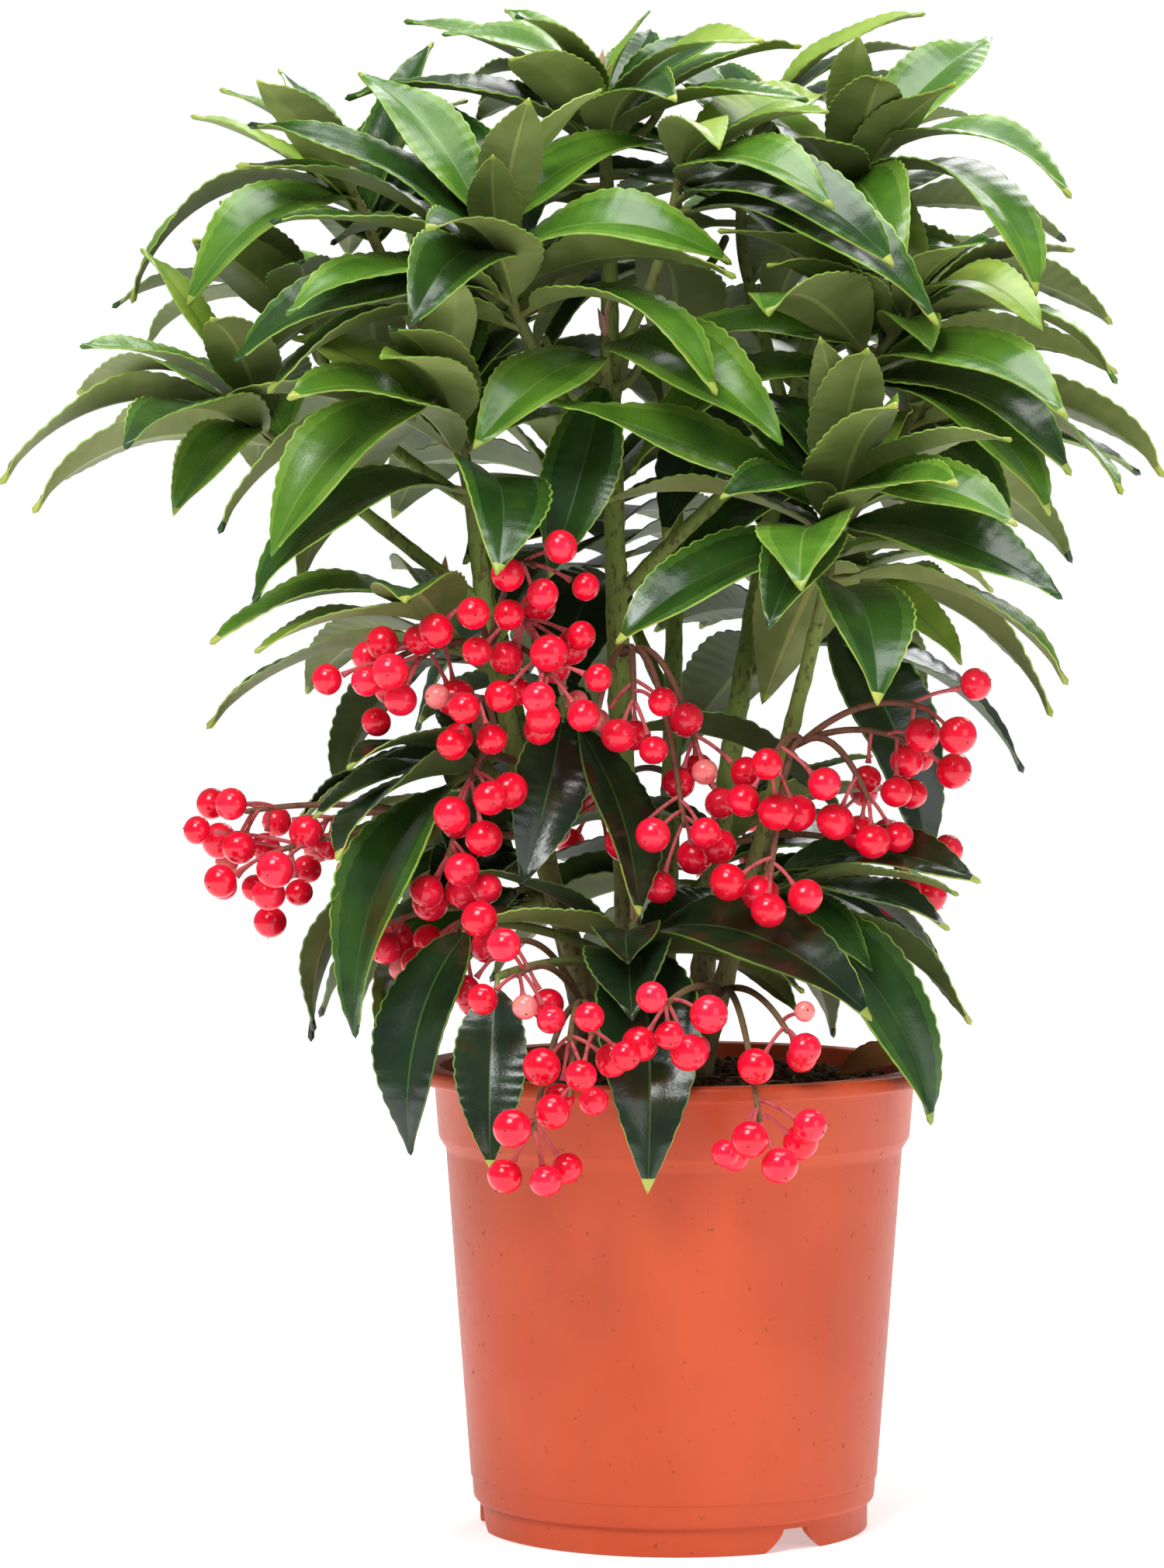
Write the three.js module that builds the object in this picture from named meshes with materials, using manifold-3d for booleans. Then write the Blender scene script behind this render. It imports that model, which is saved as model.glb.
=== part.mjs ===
// A coral ardisia in a moulded plastic pot, in millimetres with +Z up.
// The origin is the middle of the pot's underside, and the front of the plant faces -Y.
//
// Woody stems stand on the soil. Boughs leave them and end where a mass of foliage begins.
// Each mass is one shoot: a twig with a rosette of arching leaves, and short side twigs.
// Berries hang in umbels on sprays that leave the stems below the crown.
import * as THREE from 'three';
import { mergeVertices } from 'three/addons/utils/BufferGeometryUtils.js';
import Module from 'manifold-3d';

const wasm = await Module();
wasm.setup();

// Driving sizes

const CLEAR = 0.3; // gap between two pieces that touch on the real plant
const RIM_RADIUS = 75; // half of a 15 cm pot
const POT_HEIGHT = 134;
const WALL = 1.6;
const POT_SIDES = 20;
const RIM_HEIGHT = 4.5;
const BAND_RADIUS = 69.3; // the upper band, just under the rim
const STEP_HEIGHT = 110; // where the band steps in to the tapering body
const BODY_TOP_RADIUS = 66;
const BODY_FOOT_RADIUS = 58.1;
const FOOT_RADIUS = 56.1;
const FOOT_HEIGHT = 7.8;
const FLOOR_UNDERSIDE = 6.5;
const PAD_RADIUS = 14; // the flat middle of the underside that reaches the ground
const NOTCH = { count: 3, first: -53, top: 8.3, foot: 24 }; // drain notches, first in degrees from +X
const SOIL_TOP = 130;
const SOIL_EDGE = 127.5;
const SOIL_FLAT_RADIUS = 46; // the level middle of the soil, where every stem stands

const LEAF_LENGTH = 82;
const LEAF_WIDTH_RATIO = 0.36;
const VIEW = { x: -27, y: -1650, z: 290 }; // where the plant is seen from, when a leaf is set by its tip
const LEAF_THICKNESS = 1.7; // at the midrib, and the blade thins to its edges
const LEAF_FOLD = 0.28; // how steeply each half rises from the midrib
const PETIOLE = 0.07; // share of the leaf's length that is stalk
const CROWN_TOP = 441;
const CROWN = { x: -27, y: 12, z: 285, halfWidth: 168, halfDepth: 152, height: 155, power: 2.8 };
const TWIG_RADIUS = 2.2;
const TWIG_TIP_RADIUS = 1.5;
const STEM_FLARE = 0.35; // how much wider a stem is at the soil
const FLARE_HEIGHT = 9;
const BERRY_RADIUS = 5.15;
const PEDICEL_RADIUS = 0.55;
const PEDUNCLE_RADIUS = 1.6;
const GOLDEN_ANGLE = 137.5; // degrees from one leaf or berry to the next round its axis

// Space kept between things, measured from surface to surface

const LEAF_GAP = 3.0; // between leaves of two masses
const OWN_LEAF_GAP = 1.8; // between leaves of one mass, away from their stalks
const LIMB_GAP = 1.5;
const BERRY_GAP = 1.3;
const POT_GAP = 2;
const BALL_SPACING = 3; // limbs are kept as rows of balls
const STALK_SHARE = 0.3; // leaves of one mass may touch over this share of their length

// How leaves grow on a twig

const LEAF_SPACING = 3.9; // along the twig, from one leaf to the next, or less on a short twig
const TIP_BARE = 2; // from the youngest leaf to the twig's tip
const ROSETTE_SHARE = 0.88; // how much of a twig may bear leaves
const RISE = [68, 12]; // degrees above level at the stalk, youngest and oldest
const RISE_SPREAD = 12;
const DROOP = [38, 84]; // degrees that the blade bends down, youngest and oldest
const DROOP_SPREAD = 16;
const ROLL_SPREAD = 50;
const YOUNG_LENGTH = 0.66; // length of the youngest leaf, as a share of the full length
const GROWN_AT = 0.55; // the age, from 0 to 1, at which a leaf has its full length
const LENGTH_SPREAD = [0.93, 1.05];
const TWIG_RUN = 0.45; // share of the way that a twig keeps its limb's direction
const TWIG_LIFT = 0.3; // how far up a side shoot its bend is

// Where a leaf may go, as [turn, lift] in degrees from its first place

const SET_TRIES = [[0, 0], [7, 0], [-7, 0], [0, 8], [0, -8], [12, 6], [-12, 6], [12, -8], [-12, -8],
  [22, 0], [-22, 0], [0, 15], [0, -15]];
const RULE_TRIES = [[0, 0], [18, 0], [-18, 0], [0, 16], [0, -16], [34, 8], [-34, 8], [34, -12], [-34, -12],
  [60, 0], [-60, 0], [90, 10], [-90, 10]];

// Side twigs, as shares of a leaf's length, of the reach or of the way up, and degrees

const SIDE_TWIG = { from: [0.35, 0.65], reach: [20, 32], out: 0.75, up: 0.6, bend: 0.5 };
const SIDE_TESTED = [0.35, 0.5, 0.65, 0.8, 1];
const SIDE_LEAVES = [
  { rise: 46, droop: 45, length: 0.58 },
  { rise: 20, droop: 70, length: 0.75 },
];
const SIDE_ROLL_SPREAD = 20;

// Sprays of berries

const STUB_LENGTH = 12; // the part of a spray's stalk before it forks
const STUB_SWELL = 1.2; // the stub and the umbel's end of a stalk, against its own radius
const STALK_TAPER = 0.8;
const STALK_ARCH = 6; // how far a stalk arches over its ends
const UMBEL = { along: 0.7, hang: 0.5, spread: 1.15, sag: 0.25 };
const PEDICEL_LENGTH = [11, 17];
const PEDICEL_SPACING = 1.5; // along the stalk, from one berry's pedicel to the next
const PEDICEL_START = 0.6; // from the stalk's end to the first pedicel
const PEDICEL_STRETCHES = [0, 3, -2]; // tried in turn, in millimetres

const SEEDS = { mass: 1000, massStep: 77, spray: 5000, sprayStep: 131 };

const COLOURS = {
  pot: { color: 0xc85a41, roughness: 0.45 },
  soil: { color: 0x3a2a20, roughness: 1.0 },
  bark: { color: 0x6a7040, roughness: 0.8 },
  leaf: { color: 0x2c5a22, roughness: 0.4 },
  berry: { color: 0xd01f33, roughness: 0.25 },
};

// Stems and boughs: each is one tapering limb on a curve of three points [x, y, z],
// start, bend and tip. A bough's start is found on its parent at the height given.

const LIMBS = [
  { name: 'stem_main', start: [-11, 0, 122], bend: [-17, -4, 250], tip: [-19, 2, 372], radii: [4.2, 2.4] },
  { name: 'stem_left', start: [-13, -14, 122],
    bend: [-50, -20, 220], tip: [-57, -17, 288], radii: [3.5, 2.3] },
  { name: 'stem_right', start: [4, -9, 122], bend: [27, -22, 206], tip: [40, -33, 262], radii: [3.2, 2.0] },
  { name: 'stem_back_right', start: [5, 15, 122],
    bend: [16, 36, 240], tip: [40, 28, 345], radii: [3.8, 2.2] },
  { name: 'stem_back', start: [-4, 24, 122], bend: [2, 52, 240], tip: [1, 56, 340], radii: [3.4, 2.1] },
  { name: 'stem_back_left', start: [-21, 12, 122],
    bend: [-44, 50, 220], tip: [-62, 62, 310], radii: [3.2, 2.0] },
  { name: 'bough_left_top', parent: 'stem_main', height: 298,
    bend: [-25, -8, 314], tip: [-35, -17, 330], radii: [2.4, 1.9] },
  { name: 'bough_centre_front', parent: 'stem_main', height: 334,
    bend: [-14, -5, 342], tip: [-9, -11, 353], radii: [2.0, 1.7] },
  { name: 'bough_right_mid', parent: 'stem_main', height: 268,
    bend: [5, -4, 292], tip: [42, -12, 322], radii: [2.3, 1.8] },
  { name: 'bough_left_outer', parent: 'stem_left', height: 266,
    bend: [-78, -10, 284], tip: [-100, -4, 302], radii: [2.2, 1.7] },
  { name: 'bough_left_crest', parent: 'stem_left', height: 274,
    bend: [-58, 6, 310], tip: [-74, 15, 344], radii: [2.0, 1.7] },
  { name: 'bough_left_back', parent: 'stem_back_left', height: 296,
    bend: [-76, 60, 306], tip: [-91, 47, 319], radii: [2.0, 1.7] },
  { name: 'bough_right_crest', parent: 'stem_back_right', height: 318,
    bend: [28, 37, 340], tip: [22, 34, 362], radii: [2.0, 1.7] },
  { name: 'bough_right_outer', parent: 'stem_back_right', height: 264,
    bend: [42, 36, 276], tip: [52, 29, 292], radii: [2.2, 1.8] },
  { name: 'bough_back_right', parent: 'stem_back', height: 280,
    bend: [24, 66, 296], tip: [34, 70, 316], radii: [2.1, 1.7] },
  { name: 'bough_back_low', parent: 'stem_back', height: 236,
    bend: [-8, 67, 250], tip: [-14, 76, 268], radii: [2.1, 1.7] },
];

// Masses of foliage. Each starts at the tip of its limb, or leaves the side of it at a height,
// and ends at its apex. "set" places single leaves by hand, youngest first, by their tips, as
// [across, up, depth, droop, facing]: where the tip is seen from the front, in millimetres on the
// upright plane through the origin, its true depth, the degrees that the blade bends down by
// its tip, and the degrees that its upper face is turned to the front.
// The rule then adds up to "leaves" more, from "rise[0]" at the apex to "rise[1]" at the foot.

const MASSES = [
  { name: 'foliage_crown_top', limb: 'stem_main', apex: [-21, 8, 414], leaves: 7, phase: 70,
    set: [[-7, 437, 12, 25, 0], [-67, 430, -12, 60, 30], [-49, 437, 30, 60, 20], [15, 436, 20, 60, 25],
      [26, 428, -28, 75, 20], [-60, 416, 55, 75, 0], [0, 419, -48, 80, 20]] },
  { name: 'foliage_left_top', limb: 'bough_left_top', apex: [-54, -35, 374], leaves: 4, phase: 300,
    set: [[-91, 419, -5, 45, 30], [-10, 406, 0, 65, 20], [-117, 414, -20, 45, 15], [16, 374, -52, 92, 30],
      [-76, 346, -86, 95, 20], [-99, 370, 10, 75, 0], [-127, 336, -50, 75, 25], [-128, 393, -22, 60, 0],
      [-122, 334, -10, 80, -10]] },
  { name: 'foliage_centre_front', limb: 'bough_centre_front', apex: [2, -20, 393], leaves: 6, phase: 120,
    set: [[43, 412, 20, 55, 20], [13, 397, -63, 105, 0], [46, 380, -68, 90, 20], [65, 374, -61, 88, 25],
      [56, 347, -84, 75, 20]] },
  { name: 'foliage_right_top', limb: 'stem_back_right', apex: [54, 12, 396], leaves: 8, phase: 200,
    set: [[91, 429, 52, 50, 25], [114, 383, -13, 98, 10], [104, 355, -28, 105, 0], [73, 361, -38, 95, 25]] },
  { name: 'foliage_right_crest', limb: 'bough_right_crest', apex: [26, 30, 408], leaves: 7, phase: 150,
    set: [[72, 436, 28, 50, 15], [70, 426, 50, 60, 0], [78, 412, 58, 70, 0]] },
  { name: 'foliage_right_mid', limb: 'bough_right_mid', apex: [68, -12, 352], leaves: 8, phase: 90,
    set: [[106, 345, -48, 98, 20], [126, 347, 20, 80, -10], [129, 339, -30, 90, 0], [74, 339, -56, 70, 0]] },
  { name: 'foliage_right_outer', limb: 'bough_right_outer', apex: [72, 20, 324], leaves: 7, phase: 60,
    set: [[106, 320, -24, 90, 35], [141, 303, 30, 92, -15], [129, 298, -18, 85, -15], [97, 292, -6, 80, 15],
      [108, 300, 50, 80, 0]] },
  { name: 'foliage_right_front', limb: 'stem_right', apex: [45, -44, 304], leaves: 4, phase: 20,
    set: [[41, 341, -38, 12, 0], [99, 289, -80, 50, 30], [13, 297, -82, 55, 20], [-36, 325, -52, 24, 30],
      [112, 268, -75, 50, 30], [27, 259, -86, 70, 10], [-17, 255, -67, 60, 25], [92, 270, -8, 60, 0]] },
  { name: 'foliage_left_mid', limb: 'stem_left', apex: [-66, -26, 326], leaves: 7, phase: 10,
    set: [[-116, 280, -55, 90, 20], [-104, 262, 28, 80, 0], [-126, 280, -12, 80, -10]] },
  { name: 'foliage_left_outer', limb: 'bough_left_outer', apex: [-127, 0, 324], leaves: 6, phase: 100,
    set: [[-121, 339, 12, 12, 0], [-194, 301, -22, 80, -15], [-172, 327, 45, 70, 0], [-140, 292, -38, 80, 15],
      [-144, 296, 28, 80, 0]] },
  { name: 'foliage_left_crest', limb: 'bough_left_crest', apex: [-94, 14, 388], leaves: 6, phase: 65,
    set: [[-156, 353, 14, 98, 0], [-140, 352, -18, 95, 20], [-142, 374, 40, 85, 0], [-69, 428, 30, 50, 20]] },
  { name: 'foliage_left_back', limb: 'bough_left_back', apex: [-106, 34, 352], leaves: 6, phase: 130,
    set: [[-152, 341, 62, 80, 0], [-161, 352, 20, 85, 0]] },
  { name: 'foliage_back_left', limb: 'stem_back_left', apex: [-60, 66, 356], leaves: 13, phase: 35, set: [] },
  { name: 'foliage_back_crest', limb: 'stem_back', apex: [2, 62, 392], leaves: 13, phase: 255, set: [] },
  { name: 'foliage_back_right', limb: 'bough_back_right', apex: [46, 70, 354], leaves: 12,
    phase: 330, set: [] },
  { name: 'foliage_back_low', limb: 'bough_back_low', apex: [-20, 84, 310], leaves: 12, phase: 180, set: [] },
  { name: 'foliage_stem_front', limb: 'stem_main', height: 322, apex: [-20, -18, 342], leaves: 0, phase: 0,
    set: [[28, 302, -66, 72, 25], [-58, 311, -64, 62, 20], [-36, 274, -34, 30, 30]] },
  { name: 'foliage_right_low', limb: 'stem_back_right', height: 246, apex: [44, 36, 276], leaves: 8,
    phase: 45, rise: [45, -5],
    set: [[109, 234, 34, 70, -10], [83, 249, 2, 60, 10], [73, 242, 66, 60, 0], [73, 191, 20, 50, 30]] },
  { name: 'foliage_left_low', limb: 'stem_left', height: 248, apex: [-66, -14, 268], leaves: 6, phase: 75,
    rise: [40, 0], set: [[-134, 255, -40, 60, 10]] },
  { name: 'skirt_centre', limb: 'stem_main', height: 228, apex: [-32, -25, 240], leaves: 0, phase: 0,
    set: [[-44, 185, -54, 40, 30], [-14, 171, -54, 34, -20]] },
  { name: 'skirt_right', limb: 'stem_right', height: 168, apex: [26, -20, 190], leaves: 6, phase: 85,
    rise: [35, -10],
    set: [[92, 180, -34, 62, 25], [79, 158, 4, 70, 10], [54, 160, -50, 70, 20], [64, 114, -56, 85, 25]] },
  { name: 'skirt_front', limb: 'stem_main', height: 158, apex: [-12, -28, 176], leaves: 3, phase: 200,
    rise: [25, -5],
    set: [[-76, 107, -56, 108, 25], [62, 139, -54, 90, 25], [-7, 104, -90, 100, 0]] },
  { name: 'skirt_left', limb: 'stem_left', height: 214, apex: [-56, -14, 226], leaves: 6, phase: 95,
    rise: [30, -10], set: [[-97, 171, -50, 80, 20]] },
  { name: 'skirt_back_right', limb: 'stem_back', height: 176, apex: [16, 48, 202], leaves: 10, phase: 15,
    rise: [40, -5], set: [] },
  { name: 'skirt_back_left', limb: 'stem_back_left', height: 176, apex: [-50, 46, 204], leaves: 9,
    phase: 155, rise: [40, -5], set: [[-105, 140, 36, 80, -15]] },
];

// Sprays of berries. Each leaves its stem at a height and forks to umbels, given as
// [x, y, z, berries].

const SPRAYS = [
  { name: 'berries_left_outer', limb: 'stem_left', height: 200,
    umbels: [[-116, -26, 196, 5], [-100, -8, 205, 2]] },
  { name: 'berries_left_upper', limb: 'stem_left', height: 250,
    umbels: [[-42, -52, 262, 4], [-72, -44, 252, 4]] },
  { name: 'berries_left_mid', limb: 'stem_left', height: 222,
    umbels: [[-58, -50, 218, 3], [-64, -44, 196, 3]] },
  { name: 'berries_left_low', limb: 'stem_left', height: 176,
    umbels: [[-84, -2, 174, 3], [-62, -36, 176, 2]] },
  { name: 'berries_centre', limb: 'stem_main', height: 252,
    umbels: [[-12, -42, 240, 3], [6, -40, 226, 3], [2, -48, 206, 3]] },
  { name: 'berries_right', limb: 'stem_right', height: 226,
    umbels: [[26, -54, 222, 3], [64, -40, 229, 4], [54, -46, 212, 4], [26, -58, 192, 2]] },
  { name: 'berries_right_outer', limb: 'stem_back_right', height: 196,
    umbels: [[66, 4, 190, 2], [52, 66, 202, 2]] },
  { name: 'berries_front_left', limb: 'stem_left', height: 152,
    umbels: [[-48, -56, 172, 2], [-30, -80, 148, 3], [-40, -92, 124, 3]] },
  { name: 'berries_front_right', limb: 'stem_right', height: 156,
    umbels: [[-6, -56, 154, 3], [22, -90, 126, 3], [30, -76, 150, 2]] },
  { name: 'berries_back', limb: 'stem_back', height: 214, umbels: [[-22, 92, 204, 3], [20, 94, 198, 3]] },
];

// Small tools

// The same seed always gives the same plant.
function makeRandom(seed) {
  let state = seed >>> 0;
  return () => {
    state = (Math.imul(state, 1664525) + 1013904223) >>> 0;
    return state / 4294967296;
  };
}

const radians = (angle) => (angle * Math.PI) / 180;
const degrees = (angle) => (angle * 180) / Math.PI;
const vector = (place) => new THREE.Vector3(...place);
const between = ([low, high], share) => low + (high - low) * share;

function shareOfOutline(share) {
  const blade = Math.min(1, Math.max(0, (share - PETIOLE) / (1 - PETIOLE)));
  return Math.max(0.05, Math.sin(Math.PI * blade ** 0.85)) ** 0.85;
}

// Solids

function toSolid(geometry) {
  const bare = geometry.clone();
  bare.deleteAttribute('normal');
  bare.deleteAttribute('uv');
  const merged = mergeVertices(bare, 1e-4);
  const mesh = new wasm.Mesh({
    numProp: 3,
    vertProperties: merged.attributes.position.array,
    triVerts: new Uint32Array(merged.index.array),
  });
  return new wasm.Manifold(mesh);
}

// Vertices closer than the weld are made one, and the triangles that this closes up are left out.
const WELD = 4e-3;

function toGeometry(solid) {
  const { vertProperties, triVerts } = solid.getMesh();
  const cells = new Map();
  const points = [];
  const twin = [];
  for (let i = 0; i < vertProperties.length; i += 3) {
    const point = new THREE.Vector3().fromArray(vertProperties, i);
    const cell = point.toArray().map((value) => Math.floor(value / WELD));
    let found = -1;
    for (let n = 0; n < 27 && found < 0; n += 1) {
      const near = [(n % 3) - 1, (Math.floor(n / 3) % 3) - 1, Math.floor(n / 9) - 1];
      const key = cell.map((value, axis) => value + near[axis]).join();
      found = (cells.get(key) ?? []).find((k) => points[k].distanceTo(point) < WELD) ?? -1;
    }
    if (found < 0) {
      found = points.length;
      points.push(point);
      cells.set(cell.join(), [...(cells.get(cell.join()) ?? []), found]);
    }
    twin.push(found);
  }
  const faces = new Map();
  for (let i = 0; i < triVerts.length; i += 3) {
    const corners = [twin[triVerts[i]], twin[triVerts[i + 1]], twin[triVerts[i + 2]]];
    const key = [...corners].sort((a, b) => a - b).join();
    if (new Set(corners).size < 3) continue;
    if (faces.has(key)) faces.delete(key);
    else faces.set(key, corners);
  }
  const geometry = new THREE.BufferGeometry();
  geometry.setAttribute('position', new THREE.Float32BufferAttribute(points.flatMap((p) => p.toArray()), 3));
  geometry.setIndex([...faces.values()].flat());
  geometry.computeVertexNormals();
  return geometry;
}

// A loose scrap that cutting or joining leaves is dropped.
function largestPiece(solid) {
  const pieces = solid.decompose();
  return pieces.sort((a, b) => b.volume() - a.volume())[0];
}

// Limbs

// A limb is a curve with a radius at its start and at its tip.
function makeLimb(start, bend, tip, radii) {
  const curve = new THREE.QuadraticBezierCurve3(start, bend, tip);
  return { curve, radii, length: curve.getLength() };
}

function radiusAt(limb, share) {
  return between(limb.radii, share);
}

// A closed cylinder with flat ends is bent along the limb, and flared where it meets the soil.
function limbSolid(limb, sides, pitch, extra = 0) {
  const steps = Math.max(3, Math.round(limb.length / pitch));
  const geometry = new THREE.CylinderGeometry(1, 1, 1, sides, steps);
  const frames = limb.curve.computeFrenetFrames(steps, false);
  const centres = frames.tangents.map((_, i) => limb.curve.getPointAt(i / steps));
  const position = geometry.attributes.position;
  const point = new THREE.Vector3();
  for (let i = 0; i < position.count; i += 1) {
    const step = Math.round((position.getY(i) + 0.5) * steps);
    const flare = limb.flare ? 1 + limb.flare * Math.exp(-(centres[step].z - SOIL_TOP) / FLARE_HEIGHT) : 1;
    const radius = radiusAt(limb, step / steps) * flare + extra;
    point.copy(centres[step]);
    point.addScaledVector(frames.binormals[step], position.getX(i) * radius);
    point.addScaledVector(frames.normals[step], position.getZ(i) * radius);
    position.setXYZ(i, point.x, point.y, point.z);
  }
  return toSolid(geometry);
}

// The share of the way along a rising limb at which it reaches a height.
function shareAtHeight(limb, height) {
  let low = 0;
  let high = 1;
  for (let i = 0; i < 30; i += 1) {
    const middle = (low + high) / 2;
    if (limb.curve.getPointAt(middle).z < height) low = middle;
    else high = middle;
  }
  return low;
}

// Leaves

// A leaf is a folded blade whose midrib is an arc. The straight line from its base to its tip has
// the bearing and the slope, and the arc stands over it.
function makeLeaf(base, bearing, slope, length, droop, roll) {
  const b = radians(bearing);
  const a = radians(slope);
  const turn = radians(roll);
  const half = radians(droop) / 2;
  const chord = new THREE.Vector3(Math.cos(a) * Math.cos(b), Math.cos(a) * Math.sin(b), Math.sin(a));
  const level = new THREE.Vector3(-Math.sin(b), Math.cos(b), 0);
  const normal = chord.clone().cross(level);
  const across = level.clone().multiplyScalar(Math.cos(turn)).addScaledVector(normal, Math.sin(turn));
  const over = normal.clone().multiplyScalar(Math.cos(turn)).addScaledVector(level, -Math.sin(turn));
  const along = chord.clone().multiplyScalar(Math.cos(half)).addScaledVector(over, Math.sin(half));
  const up = over.clone().multiplyScalar(Math.cos(half)).addScaledVector(chord, -Math.sin(half));
  const halfWidth = (length * LEAF_WIDTH_RATIO) / 2;
  return { base, along, across, up, length, bow: length / (2 * half), halfWidth };
}

// The bearing, slope, length and roll of a leaf whose tip is set by hand
function aimLeaf(base, [acrossView, upView, depth, droop, facing]) {
  const far = (depth - VIEW.y) / -VIEW.y;
  const x = VIEW.x + (acrossView - VIEW.x) * far - base.x;
  const y = depth - base.y;
  const z = VIEW.z + (upView - VIEW.z) * far - base.z;
  const half = radians(droop) / 2;
  return {
    bearing: degrees(Math.atan2(y, x)),
    slope: degrees(Math.atan2(z, Math.hypot(x, y))),
    length: Math.hypot(x, y, z) * (half / Math.sin(half)),
    droop,
    roll: x < 0 ? -facing : facing,
  };
}

// The point of a leaf at a distance along, a distance across, and a height over its mid surface.
function leafPoint(leaf, s, v, lift = 0) {
  const angle = s / leaf.bow;
  const height = LEAF_FOLD * Math.abs(v) + lift;
  return leaf.base.clone()
    .addScaledVector(leaf.along, leaf.bow * Math.sin(angle) + height * Math.sin(angle))
    .addScaledVector(leaf.up, -leaf.bow * (1 - Math.cos(angle)) + height * Math.cos(angle))
    .addScaledVector(leaf.across, v);
}

// True where a ball around the point comes within the gap of the leaf.
function nearLeaf(leaf, point, radius, gap) {
  const offset = point.clone().sub(leaf.base);
  const v = offset.dot(leaf.across);
  const side = Math.abs(v) - leaf.halfWidth - radius - gap;
  if (side > 0) return false;
  const x = offset.dot(leaf.along);
  const z = offset.dot(leaf.up) + leaf.bow;
  const s = Math.atan2(x, z) * leaf.bow;
  if (s < -radius || s > leaf.length + radius + gap) return false;
  const share = Math.min(1, Math.max(0, s / leaf.length));
  if (Math.abs(v) > leaf.halfWidth * shareOfOutline(share) + radius + gap) return false;
  const height = Math.hypot(x, z) - leaf.bow - LEAF_FOLD * Math.abs(v);
  return Math.abs(height) < radius + gap;
}

const SAMPLE_STATIONS = 14;
const SAMPLE_SIDES = [-1, -0.5, 0, 0.5, 1];
const FAR_SHARE = 0.6; // leaves whose middles are this share of their lengths apart can't meet

function sampleLeaf(leaf) {
  const samples = [];
  for (let i = 1; i <= SAMPLE_STATIONS; i += 1) {
    const share = i / SAMPLE_STATIONS;
    const width = leaf.halfWidth * shareOfOutline(share);
    for (const side of SAMPLE_SIDES) samples.push(leafPoint(leaf, share * leaf.length, side * width));
  }
  return samples;
}

// A sphere of four meridians becomes the blade: two are its edges, one its upper and one its lower midrib.
const LONG_LEAF = 92;
const STATIONS = { long: [0, 0.035, 0.28, 0.55, 0.81, 1], short: [0, 0.035, 0.33, 0.7, 1] };

function leafSolid(leaf) {
  const stations = leaf.length > LONG_LEAF ? STATIONS.long : STATIONS.short;
  const rows = stations.length - 1;
  const geometry = new THREE.SphereGeometry(1, 4, rows);
  const position = geometry.attributes.position;
  for (let i = 0; i < position.count; i += 1) {
    const turn = Math.acos(THREE.MathUtils.clamp(position.getY(i), -1, 1));
    const row = Math.round((turn / Math.PI) * rows);
    const share = stations[row];
    const ring = row === 0 || row === rows ? 0 : 1 / Math.sin(turn);
    const across = position.getX(i) * ring;
    const lift = position.getZ(i) * ring;
    const width = leaf.halfWidth * shareOfOutline(share);
    const point = leafPoint(leaf, share * leaf.length, across * width, (lift * LEAF_THICKNESS) / 2);
    position.setXYZ(i, point.x, point.y, point.z);
  }
  return toSolid(geometry);
}

// Room

// Everything that is placed is kept here, with its owner, as balls or as leaves.
const balls = [];
const leaves = [];

function radiusOfPot(z) {
  if (z > POT_HEIGHT - RIM_HEIGHT - POT_GAP) return RIM_RADIUS;
  if (z > STEP_HEIGHT) return BAND_RADIUS;
  return BODY_TOP_RADIUS;
}

function nearPot(point, radius) {
  const out = Math.hypot(point.x, point.y);
  const top = out < BAND_RADIUS - WALL ? SOIL_TOP : POT_HEIGHT;
  return point.z < top + POT_GAP + radius && out < radiusOfPot(point.z) + POT_GAP + radius;
}

function addLimbBalls(limb, owner) {
  const steps = Math.ceil(limb.length / BALL_SPACING);
  for (let i = 0; i <= steps; i += 1) {
    balls.push({ point: limb.curve.getPointAt(i / steps), radius: radiusAt(limb, i / steps), owner });
  }
}

function roomForBall(point, radius, gap, owner) {
  if (nearPot(point, radius)) return false;
  for (const ball of balls) {
    if (ball.owner === owner && !ball.berry) continue;
    if (point.distanceTo(ball.point) < radius + ball.radius + gap) return false;
  }
  return !leaves.some((leaf) => nearLeaf(leaf, point, radius, gap));
}

// The crown is a dome: a leaf that the rule would push out of it is left out.
function insideCrown({ x, y, z }) {
  const rise = Math.max(0, z - CROWN.z) / CROWN.height;
  const share = (Math.abs(x - CROWN.x) / CROWN.halfWidth) ** CROWN.power
    + (Math.abs(y - CROWN.y) / CROWN.halfDepth) ** CROWN.power + rise ** CROWN.power;
  return share < 1;
}

function roomForLeaf(leaf, owner, bounded) {
  const samples = sampleLeaf(leaf);
  if (samples.some((point) => nearPot(point, 0) || point.z > CROWN_TOP)) return false;
  if (bounded && !samples.every(insideCrown)) return false;
  for (const ball of balls) {
    if (ball.owner === owner && !ball.berry) continue;
    if (nearLeaf(leaf, ball.point, ball.radius, ball.berry ? BERRY_GAP : LIMB_GAP)) return false;
  }
  const middle = leafPoint(leaf, leaf.length / 2, 0);
  for (const other of leaves) {
    if (middle.distanceTo(other.middle) > (leaf.length + other.length) * FAR_SHARE) continue;
    const own = other.owner === owner;
    const gap = own ? OWN_LEAF_GAP : LEAF_GAP;
    const skip = own ? Math.ceil(SAMPLE_STATIONS * STALK_SHARE) * SAMPLE_SIDES.length : 0;
    for (let i = skip; i < samples.length; i += 1) {
      if (nearLeaf(other, samples[i], 0, gap)) return false;
      if (nearLeaf(leaf, other.samples[i], 0, gap)) return false;
    }
  }
  leaves.push({ ...leaf, owner, samples, middle });
  return true;
}

// Growing

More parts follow.
